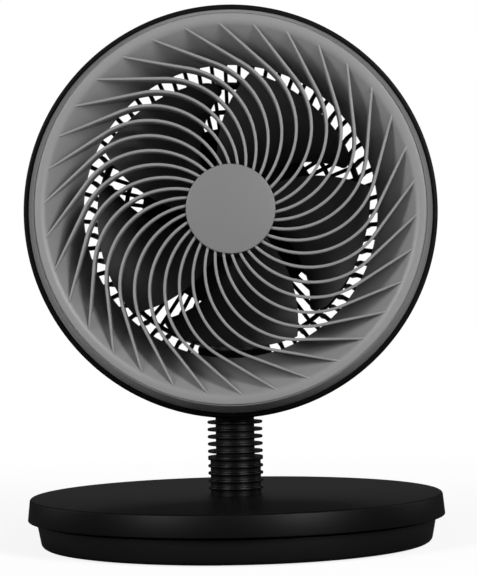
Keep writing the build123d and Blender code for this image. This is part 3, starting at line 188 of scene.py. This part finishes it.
def moulded_finish(name, colour, shade, roughness, grain, relief, specular=0.5):
    """Skin of a moulded part: spark-eroded grain in millimetres, faint flow tints and uneven gloss."""
    flow_size = 38
    material, tree = empty_material(name)
    place = add_node(tree, "TexCoord", {}, {}).outputs["Object"]
    sparks = add_node(
        tree, "TexNoise", {"Scale": 1 / (grain * mm), "Detail": 3.0, "Roughness": 0.6}, {"Vector": place}
    )
    flow = add_node(
        tree, "TexNoise", {"Scale": 1 / (flow_size * mm), "Detail": 2.0, "Distortion": 0.4}, {"Vector": place}
    )
    tint = add_node(
        tree, "Mix", {"data_type": "RGBA", 6: linear(shade), 7: linear(colour)}, {0: flow.outputs["Fac"]}
    )
    gloss = add_node(
        tree, "MapRange",
        {"From Min": 0.3, "From Max": 0.7, "To Min": roughness - 0.04, "To Max": roughness + 0.06},
        {"Value": sparks.outputs["Fac"]},
    )
    bump = add_node(
        tree, "Bump", {"Strength": 0.5, "Distance": relief * mm}, {"Height": sparks.outputs["Fac"]}
    )
    skin = add_node(
        tree, "BsdfPrincipled", {"IOR": 1.53, "Specular IOR Level": specular},
        {"Base Color": tint.outputs[2], "Roughness": gloss.outputs[0], "Normal": bump.outputs[0]},
    )
    add_node(tree, "OutputMaterial", {}, {"Surface": skin.outputs[0]})
    return material


def turn(bm, profile, steps, angle=tau):
    """Turns a closed profile of (radius, height, corner) millimetres about Z, rounding its corners."""
    corners = [(bm.verts.new((radius * mm, 0, height * mm)), corner) for radius, height, corner in profile]
    for n in range(len(corners)):
        bm.edges.new((corners[n - 1][0], corners[n][0]))
    for vert, corner in corners:
        if corner > 0:
            bmesh.ops.bevel(
                bm, geom=[vert], offset=corner * mm, affect="VERTICES", segments=4, profile=0.5, material=-1
            )
    outline = [e for e in bm.edges if e.is_wire]
    points = [v for v in bm.verts if v.is_wire]
    bmesh.ops.spin(
        bm, geom=outline + points, cent=(0, 0, 0), axis=(0, 0, 1), angle=angle, steps=steps,
        use_merge=angle == tau,
    )


def tidy(bm):
    """Closes seams and poles, drops loose edges and turns every face outwards."""
    bmesh.ops.remove_doubles(bm, verts=bm.verts, dist=0.002 * mm)
    bmesh.ops.dissolve_degenerate(bm, edges=bm.edges, dist=0.001 * mm)
    bmesh.ops.delete(bm, geom=[e for e in bm.edges if e.is_wire], context="EDGES")
    bmesh.ops.recalc_face_normals(bm, faces=bm.faces)


def turned_part(profile, steps):
    """Closed mesh of a profile turned all the way round."""
    bm = bmesh.new()
    turn(bm, profile, steps)
    tidy(bm)
    return bm


def add_part(bm, extra, where=Matrix()):
    """Moves a mesh to its place and joins it to another."""
    bmesh.ops.transform(extra, matrix=where, verts=extra.verts)
    mesh = bpy.data.meshes.new("extra")
    extra.to_mesh(mesh)
    extra.free()
    bm.from_mesh(mesh)
    bpy.data.meshes.remove(mesh)


def on_circle(n, count, radius, height=0, start=0):
    """Moves a piece to one of a number of equal places on a circle about Z, in millimetres and degrees."""
    around = Matrix.Rotation(radians(start + 360 / count * n), 4, "Z")
    return around @ Matrix.Translation((radius * mm, 0, height * mm))


def make_piece(bm, name, material, where=Matrix(), crease=32):
    """Makes a smooth-shaded object of a finished mesh, moved to its place on the fan."""
    bmesh.ops.transform(bm, matrix=where, verts=bm.verts)
    mesh = bpy.data.meshes.new(name)
    bm.to_mesh(mesh)
    bm.free()
    mesh.materials.append(material)
    mesh.shade_smooth()
    mesh.set_sharp_from_angle(angle=radians(crease))
    piece = bpy.data.objects.new(name, mesh)
    bpy.context.scene.collection.objects.link(piece)
    return piece


# a vane is an arc from the hub ring to the throat, then runs straight on under the ring's land, millimetres
vane_count = 34
vane_turn = radians(-0.9)
arc_radius = 44.4
arc_offset = 45.0
arc_steps = 26
straight_steps = 5
bend_radius = 80.3
vane_width = 1.65
vane_tip_width = 1.35
vane_front = 1.4
front_rise, rise_start, rise_run = 0.8, 92, 11
edge_round = 0.6
hub_radius = 24.3
hub_bore = 21.9
throat_inner, throat_outer = 80.2, 82.6
land_inner = 101.9
vane_end = land_inner + 1
depth_at_hub, depth_at_throat, depth_at_end = 11, 22, 1.4
back_draft = 0.3


def arc_angle(radius):
    """Angle, seen from the arc's centre, of the vane's point at a distance from the fan's axis."""
    swing = acos((radius**2 + arc_offset**2 - arc_radius**2) / (2 * radius * arc_offset))
    return atan2(radius * cos(swing) - arc_offset, radius * sin(swing))


vane_start = arc_angle((hub_radius + hub_bore) / 2)
vane_bend = arc_angle(bend_radius)
bend_point = Vector((arc_radius * cos(vane_bend), arc_offset + arc_radius * sin(vane_bend), 0))
outward = Vector((-sin(vane_bend), cos(vane_bend), 0))
along = bend_point.dot(outward)
straight = sqrt(along**2 + vane_end**2 - bend_radius**2) - along

grille_bm = bmesh.new()
first = []
for side in (1, -1):
    reach = arc_radius + side * vane_width / 2
    first.append(grille_bm.verts.new((
        reach * cos(vane_start) * mm, (arc_offset + reach * sin(vane_start)) * mm, -vane_front * mm
    )))
first_edge = grille_bm.edges.new(first)
swept = bmesh.ops.spin(
    grille_bm, geom=[first_edge, *first], cent=(0, arc_offset * mm, 0), axis=(0, 0, 1),
    angle=vane_bend - vane_start, steps=arc_steps,
)
last_edge = [g for g in swept["geom_last"] if isinstance(g, bmesh.types.BMEdge)]
for n in range(straight_steps):
    grown = bmesh.ops.extrude_edge_only(grille_bm, edges=last_edge)["geom"]
    last_edge = [g for g in grown if isinstance(g, bmesh.types.BMEdge)]
    ends = [g for g in grown if isinstance(g, bmesh.types.BMVert)]
    bmesh.ops.translate(grille_bm, verts=ends, vec=outward * straight / straight_steps * mm)
    middle = (ends[0].co + ends[1].co) / 2
    width = vane_width + (vane_tip_width - vane_width) * (n + 1) / straight_steps
    for end in ends:
        end.co = middle + (end.co - middle).normalized() * width / 2 * mm

front_verts = list(grille_bm.verts)
deep = bmesh.ops.extrude_face_region(grille_bm, geom=list(grille_bm.faces))["geom"]
for vert in [g for g in deep if isinstance(g, bmesh.types.BMVert)]:
    reach = vert.co.to_2d().length / mm
    inner_share = max(0, min(1, (reach - hub_bore) / (throat_inner - hub_bore)))
    outer_share = max(0, min(1, (reach - throat_outer) / (vane_end - throat_outer)))
    depth = depth_at_hub + (depth_at_throat - depth_at_hub) * inner_share
    depth -= (depth_at_throat - depth_at_end) * outer_share
    from_arc = vert.co.to_2d() - Vector((0, arc_offset * mm))
    if reach < bend_radius:
        vert.co.xy += from_arc.normalized() * (arc_radius * mm - from_arc.length) * back_draft
    vert.co.z = -depth * mm
for vert in front_verts:
    rise = max(0, vert.co.to_2d().length / mm - rise_start) / rise_run
    vert.co.z = (-vane_front + rise * front_rise) * mm
tidy(grille_bm)
front_set = set(front_verts)
long_edges = [
    e for e in grille_bm.edges
    if e.verts[0] in front_set and e.verts[1] in front_set and e.calc_face_angle(0) > radians(60)
]
bmesh.ops.bevel(
    grille_bm, geom=long_edges, offset=edge_round * mm, affect="EDGES", segments=3, profile=0.5, material=-1
)
bmesh.ops.rotate(
    grille_bm, verts=grille_bm.verts, cent=(0, 0, 0), matrix=Matrix.Rotation(vane_turn, 3, "Z")
)
whole_vane = list(grille_bm.verts) + list(grille_bm.edges) + list(grille_bm.faces)
bmesh.ops.spin(
    grille_bm, geom=whole_vane, cent=(0, 0, 0), axis=(0, 0, 1), angle=tau * (vane_count - 1) / vane_count,
    steps=vane_count - 1, use_duplicate=True,
)

ring_profile = [
    (land_inner, 0, 2.4),
    (106.7, 0, 0.35),
    (106.8, -1.3, 0.1),
    (107.35, -1.3, 0.1),
    (107.5, -0.5, 0.45),
    (112.0, -21.0, 0.3),
    (110.0, -21.0, 0.3),
    (104.35, -2.4, 0.5),
    (83.8, -26.0, 0.3),
    (81.4, -26.0, 0.6),
]
hub_profile = [
    (hub_radius, -1.5, 0.3),
    (hub_radius, -12, 0.5),
    (0, -12, 0),
    (0, -10, 0),
    (hub_bore, -10, 0),
    (hub_bore, -1.5, 0),
]
turn(grille_bm, ring_profile, 192)
turn(grille_bm, hub_profile, 96)
screw_circle = 98.5
boss_profile = [(3.15, -9, 0), (3.15, -31.8, 0.2), (1.6, -31.8, 0), (1.6, -20, 0), (0, -20, 0), (0, -9, 0)]
for quarter in range(4):
    boss = bmesh.new()
    turn(boss, boss_profile, 24)
    add_part(grille_bm, boss, on_circle(quarter, 4, screw_circle, start=45))
tidy(grille_bm)
# grey ABS: an even mid-grey satin; the real grain is about 0.1 mm and is drawn coarser so that it shows,
# here and on every moulded piece below
grille_grey = moulded_finish("satin_grey_abs", "#909090", "#8a8a8a", 0.42, 0.55, 0.010)
grille = make_piece(grille_bm, "grille", grille_grey, head)
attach(grille, "head")
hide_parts("front_grille")

# ---- centre cap ----
# Plain flat disc that closes the hub ring, moulded in the same grey ABS from a smoother tool.
# A short spigot behind it snaps into the ring.
cap_profile = [
    (0, 0, 0),
    (24.5, 0, 0.55),
    (24.5, -1.4, 0.25),
    (21.7, -1.4, 0),
    (21.7, -5.8, 0.3),
    (20.1, -5.8, 0.3),
    (20.1, -1.4, 0.3),
    (0, -1.4, 0),
]
# the smoother tool makes the disc a shade darker than the grille and a little glossier
cap_grey = moulded_finish("satin_grey_abs_disc", "#808080", "#7c7c7c", 0.36, 0.45, 0.006)
cap = make_piece(turned_part(cap_profile, 128), "cap", cap_grey, head)
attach(cap, "head")
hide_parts("centre_cap")

# ---- head housing ----
# Barrel of black ABS with a lip round the grille and a deep recess behind. The wells of the four screws and
# the round boss underneath, which meets the neck's sleeve, are moulded with it.


def add_drum(bm, radius, depth, segments, where):
    """Adds a closed cylinder on the Z axis of its place, in millimetres."""
    bmesh.ops.create_cone(
        bm, cap_ends=True, segments=segments, radius1=radius * mm, radius2=radius * mm, depth=depth * mm,
        matrix=where,
    )


def carve(bm, cutter):
    """Cuts one closed mesh out of another and returns what is left."""
    blank = bpy.data.meshes.new("blank")
    tool = bpy.data.meshes.new("tool")
    bm.to_mesh(blank)
    cutter.to_mesh(tool)
    bm.free()
    cutter.free()
    blank_object = bpy.data.objects.new("blank", blank)
    tool_object = bpy.data.objects.new("tool", tool)
    for part in (blank_object, tool_object):
        bpy.context.scene.collection.objects.link(part)
    cut = blank_object.modifiers.new("cut", "BOOLEAN")
    cut.operation = "DIFFERENCE"
    cut.solver = "EXACT"
    cut.object = tool_object
    view = bpy.context.evaluated_depsgraph_get()
    left = bmesh.new()
    left.from_mesh(blank_object.evaluated_get(view).to_mesh())
    for part, mesh in ((blank_object, blank), (tool_object, tool)):
        bpy.data.objects.remove(part)
        bpy.data.meshes.remove(mesh)
    return left


housing_profile = [
    (112.2, -21.6, 0.2),
    (115.0, -21.6, 1.2),
    (115.0, -27.0, 0.5),
    (113.0, -29.0, 0.8),
    (104.0, -66.0, 2.5),
    (93.0, -66.0, 1.2),
    (92.2, -34.0, 0.3),
    (82.6, -34.0, 0.3),
    (82.6, -26.2, 0.3),
    (84.8, -26.2, 0.3),
    (84.8, -31.8, 0),
    (94.4, -31.8, 0),
    (95.2, -63.8, 0),
    (101.8, -63.8, 0),
    (110.8, -29.0, 0),
    (112.2, -27.0, 0),
]
housing_back = -66
well_radius = 3.0
well_cut = 10
well_seat = -36
well_profile = [
    (4.2, -32, 0.2),
    (4.2, -65, 0),
    (well_radius, -65, 0),
    (well_radius, well_seat, 0),
    (1.6, well_seat, 0),
    (1.6, -32, 0),
]
neck_boss_profile = [(17.0, 74.75, 0.9), (17.0, 84.1, 0), (6.7, 84.1, 0), (6.7, 74.75, 0.4)]
wells = bmesh.new()
for quarter in range(4):
    add_drum(wells, well_radius, well_cut, 40, on_circle(quarter, 4, screw_circle, housing_back, 45))
housing_bm = carve(turned_part(housing_profile, 192), wells)
for quarter in range(4):
    well = bmesh.new()
    turn(well, well_profile, 40)
    add_part(housing_bm, well, on_circle(quarter, 4, screw_circle, start=45))
bmesh.ops.transform(housing_bm, matrix=head, verts=housing_bm.verts)
turn(housing_bm, neck_boss_profile, 96)
tidy(housing_bm)
# black ABS with a fine eroded texture: deep matt black that only catches light softly on its edges
housing_black = moulded_finish("textured_black_abs", "#070707", "#050505", 0.50, 0.60, 0.012, 0.12)
housing = make_piece(housing_bm, "housing", housing_black)
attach(housing, "head")
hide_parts("head_housing")

# ---- rear grille ----
# Basket of near-radial bars and two hoops in black ABS, with the plate that holds the motor. Six screws hold
# it in the housing's recess, and a solid patch closes it above the neck.


def merged_copy(node):
    """Copy of a CAD node's mesh with its loose triangles joined."""
    bm = bmesh.new()
    bm.from_mesh(nodes[node].data)
    bmesh.ops.remove_doubles(bm, verts=bm.verts, dist=0.001 * mm)
    return bm


# painted shadow: a dark sheet, as wide as the patch above the neck, runs on up the steep side of the basket
# and closes its windows there, standing in for the shade inside the basket
patch_half_width = 19.75
basket_radius = 78.0
shade_sheet_angle = 2 * asin(patch_half_width / basket_radius)
shade_sheet_profile = [(basket_radius, -49.5, 0), (80.2, -49.5, 0), (79.0, -86.5, 0), (76.9, -86.0, 0)]
shade_sheet_bm = bmesh.new()
turn(shade_sheet_bm, shade_sheet_profile, 24, shade_sheet_angle)
bmesh.ops.holes_fill(shade_sheet_bm, edges=shade_sheet_bm.edges, sides=4)
shade_sheet_place = head @ Matrix.Rotation(radians(-90) - shade_sheet_angle / 2, 4, "Z")
bmesh.ops.transform(shade_sheet_bm, matrix=shade_sheet_place, verts=shade_sheet_bm.verts)
tidy(shade_sheet_bm)
cage_bm = merged_copy("rear_grille")
add_part(cage_bm, shade_sheet_bm)
# the same plastic off a plainer tool: a shade lighter than the housing, with a thin line of light on each bar
cage_black = moulded_finish("satin_black_abs", "#0f0f0f", "#0b0b0b", 0.42, 0.60, 0.008, 0.25)
cage = make_piece(cage_bm, "cage", cage_black, crease=28)
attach(cage, "head")
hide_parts("rear_grille")

# ---- motor cover ----
# Shallow domed cap moulded in the same black ABS as the rear grille. It sits on the grille's plate at the
# back and covers the motor's screws.
cover_profile = [
    (0, -94.5, 0),
    (20, -94.2, 0),
    (34, -93.5, 0),
    (44.2, -92.4, 2.2),
    (46, -88.5, 0.2),
    (44, -88.5, 0.2),
    (42, -90.5, 0.5),
    (0, -92.5, 0),
]
cover = make_piece(turned_part(cover_profile, 128), "cover", cage_black, head)
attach(cover, "head")
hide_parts("motor_cover")

# ---- impeller ----
# Five wide skewed blades on a hub cup, moulded in one piece of dark polypropylene off a polished tool.
# It sits on the motor's shaft and is held by a nut.

# polypropylene: broad soft reflections; written lighter than it is, because the blades sit deep behind the
# grille, out of the lamps' reach, and the photograph still shows them dark grey
impeller_black = moulded_finish(
    "semi_gloss_black_polypropylene", "#5c5c5c", "#545454", 0.38, 0.80, 0.004, 0.4
)
fan_wheel = make_piece(merged_copy("impeller"), "fan_wheel", impeller_black, crease=30)
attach(fan_wheel, "impeller")
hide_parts("impeller")

# ---- neck ----
# Rigid post of black ABS, moulded with ribs to match the sleeve above it and screwed to the turntable.
# Two ears on top are the fork of the tilt hinge.
rib_pitch = 4.09
first_rib = 31.8
rib_radius = 15.5
rib_crest = 0.65
rib_root = 0.9
core_radius = 14.2
post_foot = 28
shoulder = 49.6
ear_offset = 4.45
ear_thickness = 2.5
ear_width = 11
ear_length = 12.4
hinge_height = 62.0


def ribbed(first, last):
    """Profile points of a run of rounded ribs, from the lowest up."""
    points = []
    for n in range(first, last):
        middle = first_rib + n * rib_pitch
        points += [
            (core_radius, middle - rib_root, 0.2),
            (rib_radius, middle - rib_crest, 0.4),
            (rib_radius, middle + rib_crest, 0.4),
            (core_radius, middle + rib_root, 0.2),
        ]
    return points


def add_block(bm, centre, size, turned=0):
    """Adds a block by its centre and its sizes in millimetres, turned about Z by an angle in degrees."""
    place = Matrix.Translation([c * mm for c in centre]) @ Matrix.Rotation(radians(turned), 4, "Z")
    shape = Matrix.Diagonal([*(s * mm for s in size), 1])
    bmesh.ops.create_cube(bm, size=1, matrix=place @ shape)


post_profile = [
    (0, post_foot, 0),
    (core_radius, post_foot, 0),
    *ribbed(0, 5)[:-2],
    (rib_radius, shoulder, 0.4),
    (0, shoulder, 0),
]
post_bm = turned_part(post_profile, 96)
sideways = Matrix.Rotation(radians(90), 4, "Y")
for side in (-1, 1):
    ear_middle = (side * ear_offset, 0, hinge_height - ear_length / 2)
    add_block(post_bm, ear_middle, (ear_thickness, ear_width, ear_length))
    ear_top = Matrix.Translation((side * ear_offset * mm, 0, hinge_height * mm)) @ sideways
    add_drum(post_bm, ear_width / 2, ear_thickness, 48, ear_top)
# black ABS off a smoother tool: the ribs carry thin soft lights and the grooves stay black
post_black = moulded_finish("satin_black_abs_post", "#050505", "#040404", 0.34, 0.50, 0.006, 0.30)
post = make_piece(post_bm, "post", post_black, crease=40)
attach(post, "turntable")
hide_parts("neck_post")

# ---- bellows ----
# Ribbed sleeve of moulded black rubber over the tilt hinge, flat on its two sides between the ribs.
# It grips the post below and meets the housing's boss above; this mesh is fixed in place and does not bend as
# the head tilts.
half_width = 10.85
flat_cut = 10
flat_length = 40
rib_half = 0.75
sleeve_bore = 11.0
sleeve_bottom = shoulder + 0.06
sleeve_top = 74.6
sleeve_profile = [
    (core_radius, sleeve_bottom, 0.2),
    *ribbed(5, 11),
    (core_radius, 73.7, 0.1),
    (12.2, sleeve_top, 0.3),
    (sleeve_bore, sleeve_top, 0.2),
    (sleeve_bore, sleeve_bottom, 0),
]
slot_ends = [sleeve_bottom - 1]
for n in range(5, 11):
    rib = first_rib + n * rib_pitch
    slot_ends += [rib - rib_half, rib + rib_half]
slot_ends.append(sleeve_top + 1)
flats = bmesh.new()
for low, high in zip(slot_ends[::2], slot_ends[1::2]):
    for side in (-1, 1):
        cut_middle = (side * (half_width + flat_cut / 2), 0, (low + high) / 2)
        add_block(flats, cut_middle, (flat_cut, flat_length, high - low))
bellows_bm = carve(turned_part(sleeve_profile, 96), flats)
tidy(bellows_bm)
# moulded rubber: as black as the post but duller, with a broken sheen along the ribs
bellows_black = moulded_finish("moulded_black_rubber", "#050505", "#040404", 0.38, 0.40, 0.008, 0.30)
bellows = make_piece(bellows_bm, "bellows", bellows_black, crease=40)
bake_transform(bellows)
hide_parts("neck_bellows")

# ---- turntable ----
# Wide flat disc with a skirt, moulded in textured black ABS. It turns on the base on a round track, about a
# hollow spindle that a plate holds from underneath.
turntable_profile = [
    (0, 28.0, 0),
    (116.0, 28.0, 1.2),
    (117.3, 15.8, 0.5),
    (114.9, 15.8, 0.4),
    (113.6, 25.0, 0.5),
    (99.0, 25.0, 0),
    (99.0, 16.55, 0.3),
    (95.0, 16.55, 0.3),
    (95.0, 25.0, 0),
    (19.0, 25.0, 0),
    (19.0, 7.9, 0.3),
    (15.0, 7.9, 0.3),
    (15.0, 25.0, 0),
    (0, 25.0, 0),
]
# textured black ABS: charcoal where the lamps rake over the flat top, nearly empty black down the skirt
turntable_black = moulded_finish("textured_black_abs_disc", "#080808", "#060606", 0.44, 0.70, 0.012, 0.15)
turntable = make_piece(turned_part(turntable_profile, 192), "turntable_disc", turntable_black)
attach(turntable, "turntable")
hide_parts("turntable_cover")

# ---- base ----
# One-piece shell of black ABS with a deck under the turntable, a collar for its spindle in the middle and an
# opening for the swing drive. Its wall has holes at the back for the jack and the two push buttons.
base_profile = [
    (19.4, 14.5, 0.3),
    (112.2, 14.5, 0.5),
    (109.6, 0.8, 2.4),
    (106.6, 0.8, 0.2),
    (106.6, 3.4, 0),
    (107.4, 3.4, 0),
    (110.0, 12.5, 0),
    (22.1, 12.5, 0),
    (22.1, 8.3, 0.3),
    (19.4, 8.3, 0.3),
]
control_height = 8.5
wall_radius = 109
button_angle = 14
wall_cut = 12
jack_hole = 4.0
button_hole = 3.4
deck_middle = 13.5
deck_cut = 6
drive_hole = 14.2
drive_offset = 48


def control_axis(angle):
    """Places a piece turned about Z so that its axis points out of the base, at an angle from the jack."""
    around = Matrix.Rotation(radians(-angle), 4, "Z")
    raised = Matrix.Translation((0, 0, control_height * mm))
    return around @ raised @ Matrix.Rotation(radians(-90), 4, "X")


drill = bmesh.new()
for angle, radius in ((0, jack_hole), (-button_angle, button_hole), (button_angle, button_hole)):
    wall_place = control_axis(angle) @ Matrix.Translation((0, 0, wall_radius * mm))
    add_drum(drill, radius, wall_cut, 48, wall_place)
drive_place = Matrix.Translation((drive_offset * mm, 0, deck_middle * mm))
add_drum(drill, drive_hole, deck_cut, 64, drive_place)
base_bm = carve(turned_part(base_profile, 192), drill)
tidy(base_bm)
# the same textured black ABS seen low down: its wall picks up a dull grey sheen from the paper
base_black = moulded_finish("textured_black_abs_base", "#0b0b0b", "#090909", 0.50, 0.70, 0.012, 0.36)
base = make_piece(base_bm, "base", base_black)
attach(base, "base")
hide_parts("base_shell")

# ---- bottom cover ----
# Flat disc of the same black ABS that closes the base, with pockets for the feet and sunk seats for the six
# screws that hold it.
bottom = make_piece(merged_copy("bottom_cover"), "bottom", base_black)
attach(bottom, "base")
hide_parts("bottom_cover")

# ---- rubber feet ----
# Six curved pads moulded in soft black rubber and stuck into the pockets of the bottom cover.
# Their corners and lower edges are rounded.
foot_span = 33 / 98
foot_start = radians(15.5)
foot_height = 1.6
foot_corner = 1.7
foot_profile = [(94.5, 0, 0.35), (94.5, foot_height, 0), (101.5, foot_height, 0), (101.5, 0, 0.35)]
feet_bm = bmesh.new()
for n in range(6):
    foot = bmesh.new()
    turn(foot, foot_profile, 16, foot_span)
    bmesh.ops.holes_fill(foot, edges=foot.edges, sides=0)
    bmesh.ops.recalc_face_normals(foot, faces=foot.faces)
    upright = [e for e in foot.edges if abs(e.verts[0].co.z - e.verts[1].co.z) > foot_height / 2 * mm]
    corners = [e for e in upright if e.calc_face_angle(0) > radians(60)]
    bmesh.ops.bevel(
        foot, geom=corners, offset=foot_corner * mm, affect="EDGES", segments=5, profile=0.5, material=-1
    )
    add_part(feet_bm, foot, Matrix.Rotation(foot_start + radians(60 * n) - foot_span / 2, 4, "Z"))
# soft rubber: dull dark grey with hardly any highlight
foot_rubber = moulded_finish("soft_black_rubber", "#161616", "#121212", 0.7, 0.50, 0.015, 0.3)
feet = make_piece(feet_bm, "feet", foot_rubber)
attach(feet, "base")
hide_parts("rubber_feet")

# ---- screws that show ----
# Pan-head screws of zinc-plated steel with a cross recess: four in the housing's wells, six round the rear
# grille and six under the base.


def metal_finish(name, colour, roughness, grain, stretch):
    """Skin of a worked metal: fine streaks of the working direction in its colour and its gloss."""
    # real marks are finer than a tenth of a millimetre, so each call draws them coarser, to show at all
    streak_shade = 0.82
    material, tree = empty_material(name)
    place = add_node(tree, "TexCoord", {}, {}).outputs["Object"]
    turned = add_node(tree, "Mapping", {"Scale": (1, 1, stretch)}, {"Vector": place})
    streaks = add_node(
        tree, "TexNoise", {"Scale": 1 / (grain * mm), "Detail": 4.0}, {"Vector": turned.outputs[0]}
    )
    dark = [c * streak_shade for c in linear(colour)[:3]] + [1]
    tone = add_node(
        tree, "Mix", {"data_type": "RGBA", 6: dark, 7: linear(colour)}, {0: streaks.outputs["Fac"]}
    )
    gloss = add_node(
        tree, "MapRange", {"To Min": roughness - 0.08, "To Max": roughness + 0.1},
        {"Value": streaks.outputs["Fac"]},
    )
    bump = add_node(
        tree, "Bump", {"Strength": 0.3, "Distance": 0.005 * mm}, {"Height": streaks.outputs["Fac"]}
    )
    skin = add_node(
        tree, "BsdfPrincipled", {"Metallic": 1.0},
        {"Base Color": tone.outputs[2], "Roughness": gloss.outputs[0], "Normal": bump.outputs[0]},
    )
    add_node(tree, "OutputMaterial", {}, {"Surface": skin.outputs[0]})
    return material


def cross_head_screw(length):
    """Mesh of a pan-head screw on Z, its seat at zero, with a tapered cross recess."""
    recess_height = 1.6
    recess_taper = 0.45
    screw = turned_part([
        (0, 1.8, 0), (1.4, 1.78, 0.3), (2.5, 1.3, 0.5), (2.8, 0.5, 0.3), (2.8, 0, 0.1),
        (1.5, 0, 0), (1.5, 0.8 - length, 0), (0.7, -length, 0), (0, -length, 0),
    ], 32)
    for angle in (0, 90):
        bar = bmesh.new()
        add_block(bar, (0, 0, recess_height), (3.2, 0.62, 1.5), angle)
        low = [v for v in bar.verts if v.co.z < recess_height * mm]
        bmesh.ops.scale(bar, vec=(recess_taper, recess_taper, 1), verts=low)
        screw = carve(screw, bar)
    tidy(screw)
    return screw


def screw_set(length, places):
    """Mesh with one screw at each place."""
    screws = bmesh.new()
    single = cross_head_screw(length)
    for place in places:
        add_part(screws, single.copy(), place)
    single.free()
    return screws


def twisted(degrees):
    """Points a screw backwards and turns its recess, because no two screws stop alike."""
    return Matrix.Rotation(radians(180), 4, "X") @ Matrix.Rotation(radians(degrees), 4, "Z")


# zinc plating: light cool grey, softly mirrored, with faint streaks round the head
zinc_steel = metal_finish("zinc_plated_steel", "#a9abac", 0.34, 0.3, 0.2)
cage_screw_circle, cage_screw_seat = 87.4, -36.5
bottom_screw_circle, bottom_screw_seat = 103, 2.6
screw_groups = [
    ("well_screws", "grille_screws", "head", 16.0, [
        head @ on_circle(n, 4, screw_circle, well_seat, 45) @ twisted(23 + 37 * n) for n in range(4)
    ]),
    ("cage_screws", "rear_grille_screws", "head", 8.0, [
        head @ on_circle(n, 6, cage_screw_circle, cage_screw_seat) @ twisted(11 + 29 * n) for n in range(6)
    ]),
    ("bottom_screws", "base_screws", "base", 8.0, [
        on_circle(n, 6, bottom_screw_circle, bottom_screw_seat) @ twisted(17 + 41 * n) for n in range(6)
    ]),
]
for name, node, body, length, places in screw_groups:
    screws = make_piece(screw_set(length, places), name, zinc_steel, crease=35)
    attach(screws, body)
    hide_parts(node)

# ---- push buttons ----
# Two round caps of black ABS beside the jack, dished on the front. Each is moulded with a flange behind the
# wall, which keeps it in, and a stem that meets its plunger.
button_profile = [
    (0, 111.75, 0),
    (1.9, 111.85, 0.4),
    (2.6, 112.06, 0.25),
    (3.2, 112.06, 0.5),
    (3.2, 107.5, 0),
    (3.9, 107.5, 0),
    (3.9, 106.5, 0.1),
    (1.6, 106.5, 0),
    (1.6, 101.5, 0.2),
    (0, 101.5, 0),
]
# semi-gloss black ABS: a small bright light in each dish picks the caps out of the matt wall
button_black = moulded_finish("semi_gloss_black_abs", "#181818", "#141414", 0.30, 0.60, 0.003, 0.4)
for name, angle in (("speed", -button_angle), ("swing", button_angle)):
    button = make_piece(turned_part(button_profile, 48), name + "_cap", button_black, control_axis(angle))
    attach(button, name + "_key")
    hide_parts(name + "_button")

# ---- power socket ----
# Moulded barrel of black nylon, flush with the base's wall, for a barrel plug. A nickel-plated brass pin
# stands in its bore.
socket_profile = [
    (4.0, 110.86, 0.3),
    (4.0, 98.86, 0.2),
    (0, 98.86, 0),
    (0, 101.36, 0),
    (2.75, 101.36, 0),
    (2.75, 110.86, 0.4),
]
# nylon: a soft black with a slightly waxy rim of light
jack_black = moulded_finish("moulded_black_nylon", "#121212", "#0e0e0e", 0.42, 0.50, 0.006, 0.4)
jack = make_piece(turned_part(socket_profile, 48), "socket", jack_black, control_axis(0))
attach(jack, "base")
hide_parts("dc_jack")
pin_profile = [(0, 109.36, 0), (1.0, 109.36, 0.5), (1.0, 101.2, 0), (0, 101.2, 0)]
# nickel plating: a warm bright mirror
nickel = metal_finish("nickel_plated_brass", "#c9c4b8", 0.2, 0.3, 0.2)
pin = make_piece(turned_part(pin_profile, 24), "socket_pin", nickel, control_axis(0))
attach(pin, "base")

# ---- pieces out of sight ----
# Motor, hinge, swing drive, ballast and electrics: each keeps its CAD shape and gets the finish of what it is
# made of.

# zinc over drawn sheet: a light grey mirror, streaked along the draw
pressed_steel = metal_finish("zinc_plated_pressing", "#b0b2b4", 0.30, 0.5, 0.3)
# stacked electrical steel: dull grey with the fine lines of its sheets
core_steel = metal_finish("laminated_electrical_steel", "#7c7c80", 0.45, 0.5, 6.0)
# aluminium as it leaves the die: pale, matt and a little cloudy
cast_aluminium = metal_finish("die_cast_aluminium", "#b9babc", 0.50, 0.8, 1.0)
# thick plate with a black oxide skin: dark, with a soft sheen
ballast_steel = metal_finish("black_oxide_steel", "#3c3c40", 0.55, 1.2, 1.0)
# lacquered copper wire: warm and glossy, with the close lines of its turns
coil_copper = metal_finish("enamelled_copper_wire", "#b4693c", 0.28, 0.35, 8.0)
# pressed and fired ferrite: charcoal, dull and slightly rough
ferrite = moulded_finish("pressed_ferrite", "#4a4a4c", "#3e3e40", 0.6, 0.40, 0.020)
# lacquer over a circuit board: glossy green
solder_mask = moulded_finish("green_solder_mask", "#1d6b3a", "#175a30", 0.32, 1.20, 0.015)
# acetal gears and glides: milky white with a waxy shine
acetal = moulded_finish("white_acetal", "#eae9e4", "#e3e2dc", 0.38, 0.80, 0.004)
# small nylon mouldings: dull black
switch_nylon = moulded_finish("black_nylon", "#1c1c1c", "#171717", 0.45, 0.50, 0.006)
# pressed fibre: brown and dead matt, like thick card
fibre = moulded_finish("pressed_friction_fibre", "#7d6a50", "#6b5a44", 0.85, 0.50, 0.040)
finishes = {
    zinc_steel: [
        "motor_screws", "arm_screws", "hinge_pin", "hinge_nut", "impeller_nut", "post_screws",
        "retainer_screws", "gear_screws", "swing_motor_screws", "ballast_screws", "board_screws",
    ],
    pressed_steel: ["motor_bearings", "rotor_cup", "motor_shaft", "retaining_plate", "swing_motor"],
    core_steel: ["stator_core"],
    cast_aluminium: ["motor_mount", "tilt_arm"],
    ballast_steel: ["ballast_plate"],
    coil_copper: ["stator_coils"],
    ferrite: ["magnet_ring"],
    solder_mask: ["motor_board", "control_board"],
    acetal: ["ring_gear", "swing_pinion", "glide_ring"],
    switch_nylon: ["tact_switches", "speed_plunger", "swing_plunger"],
    fibre: ["friction_washers"],
}
for finish, members in finishes.items():
    for member in members:
        for slot in nodes[member].material_slots:
            slot.material = finish
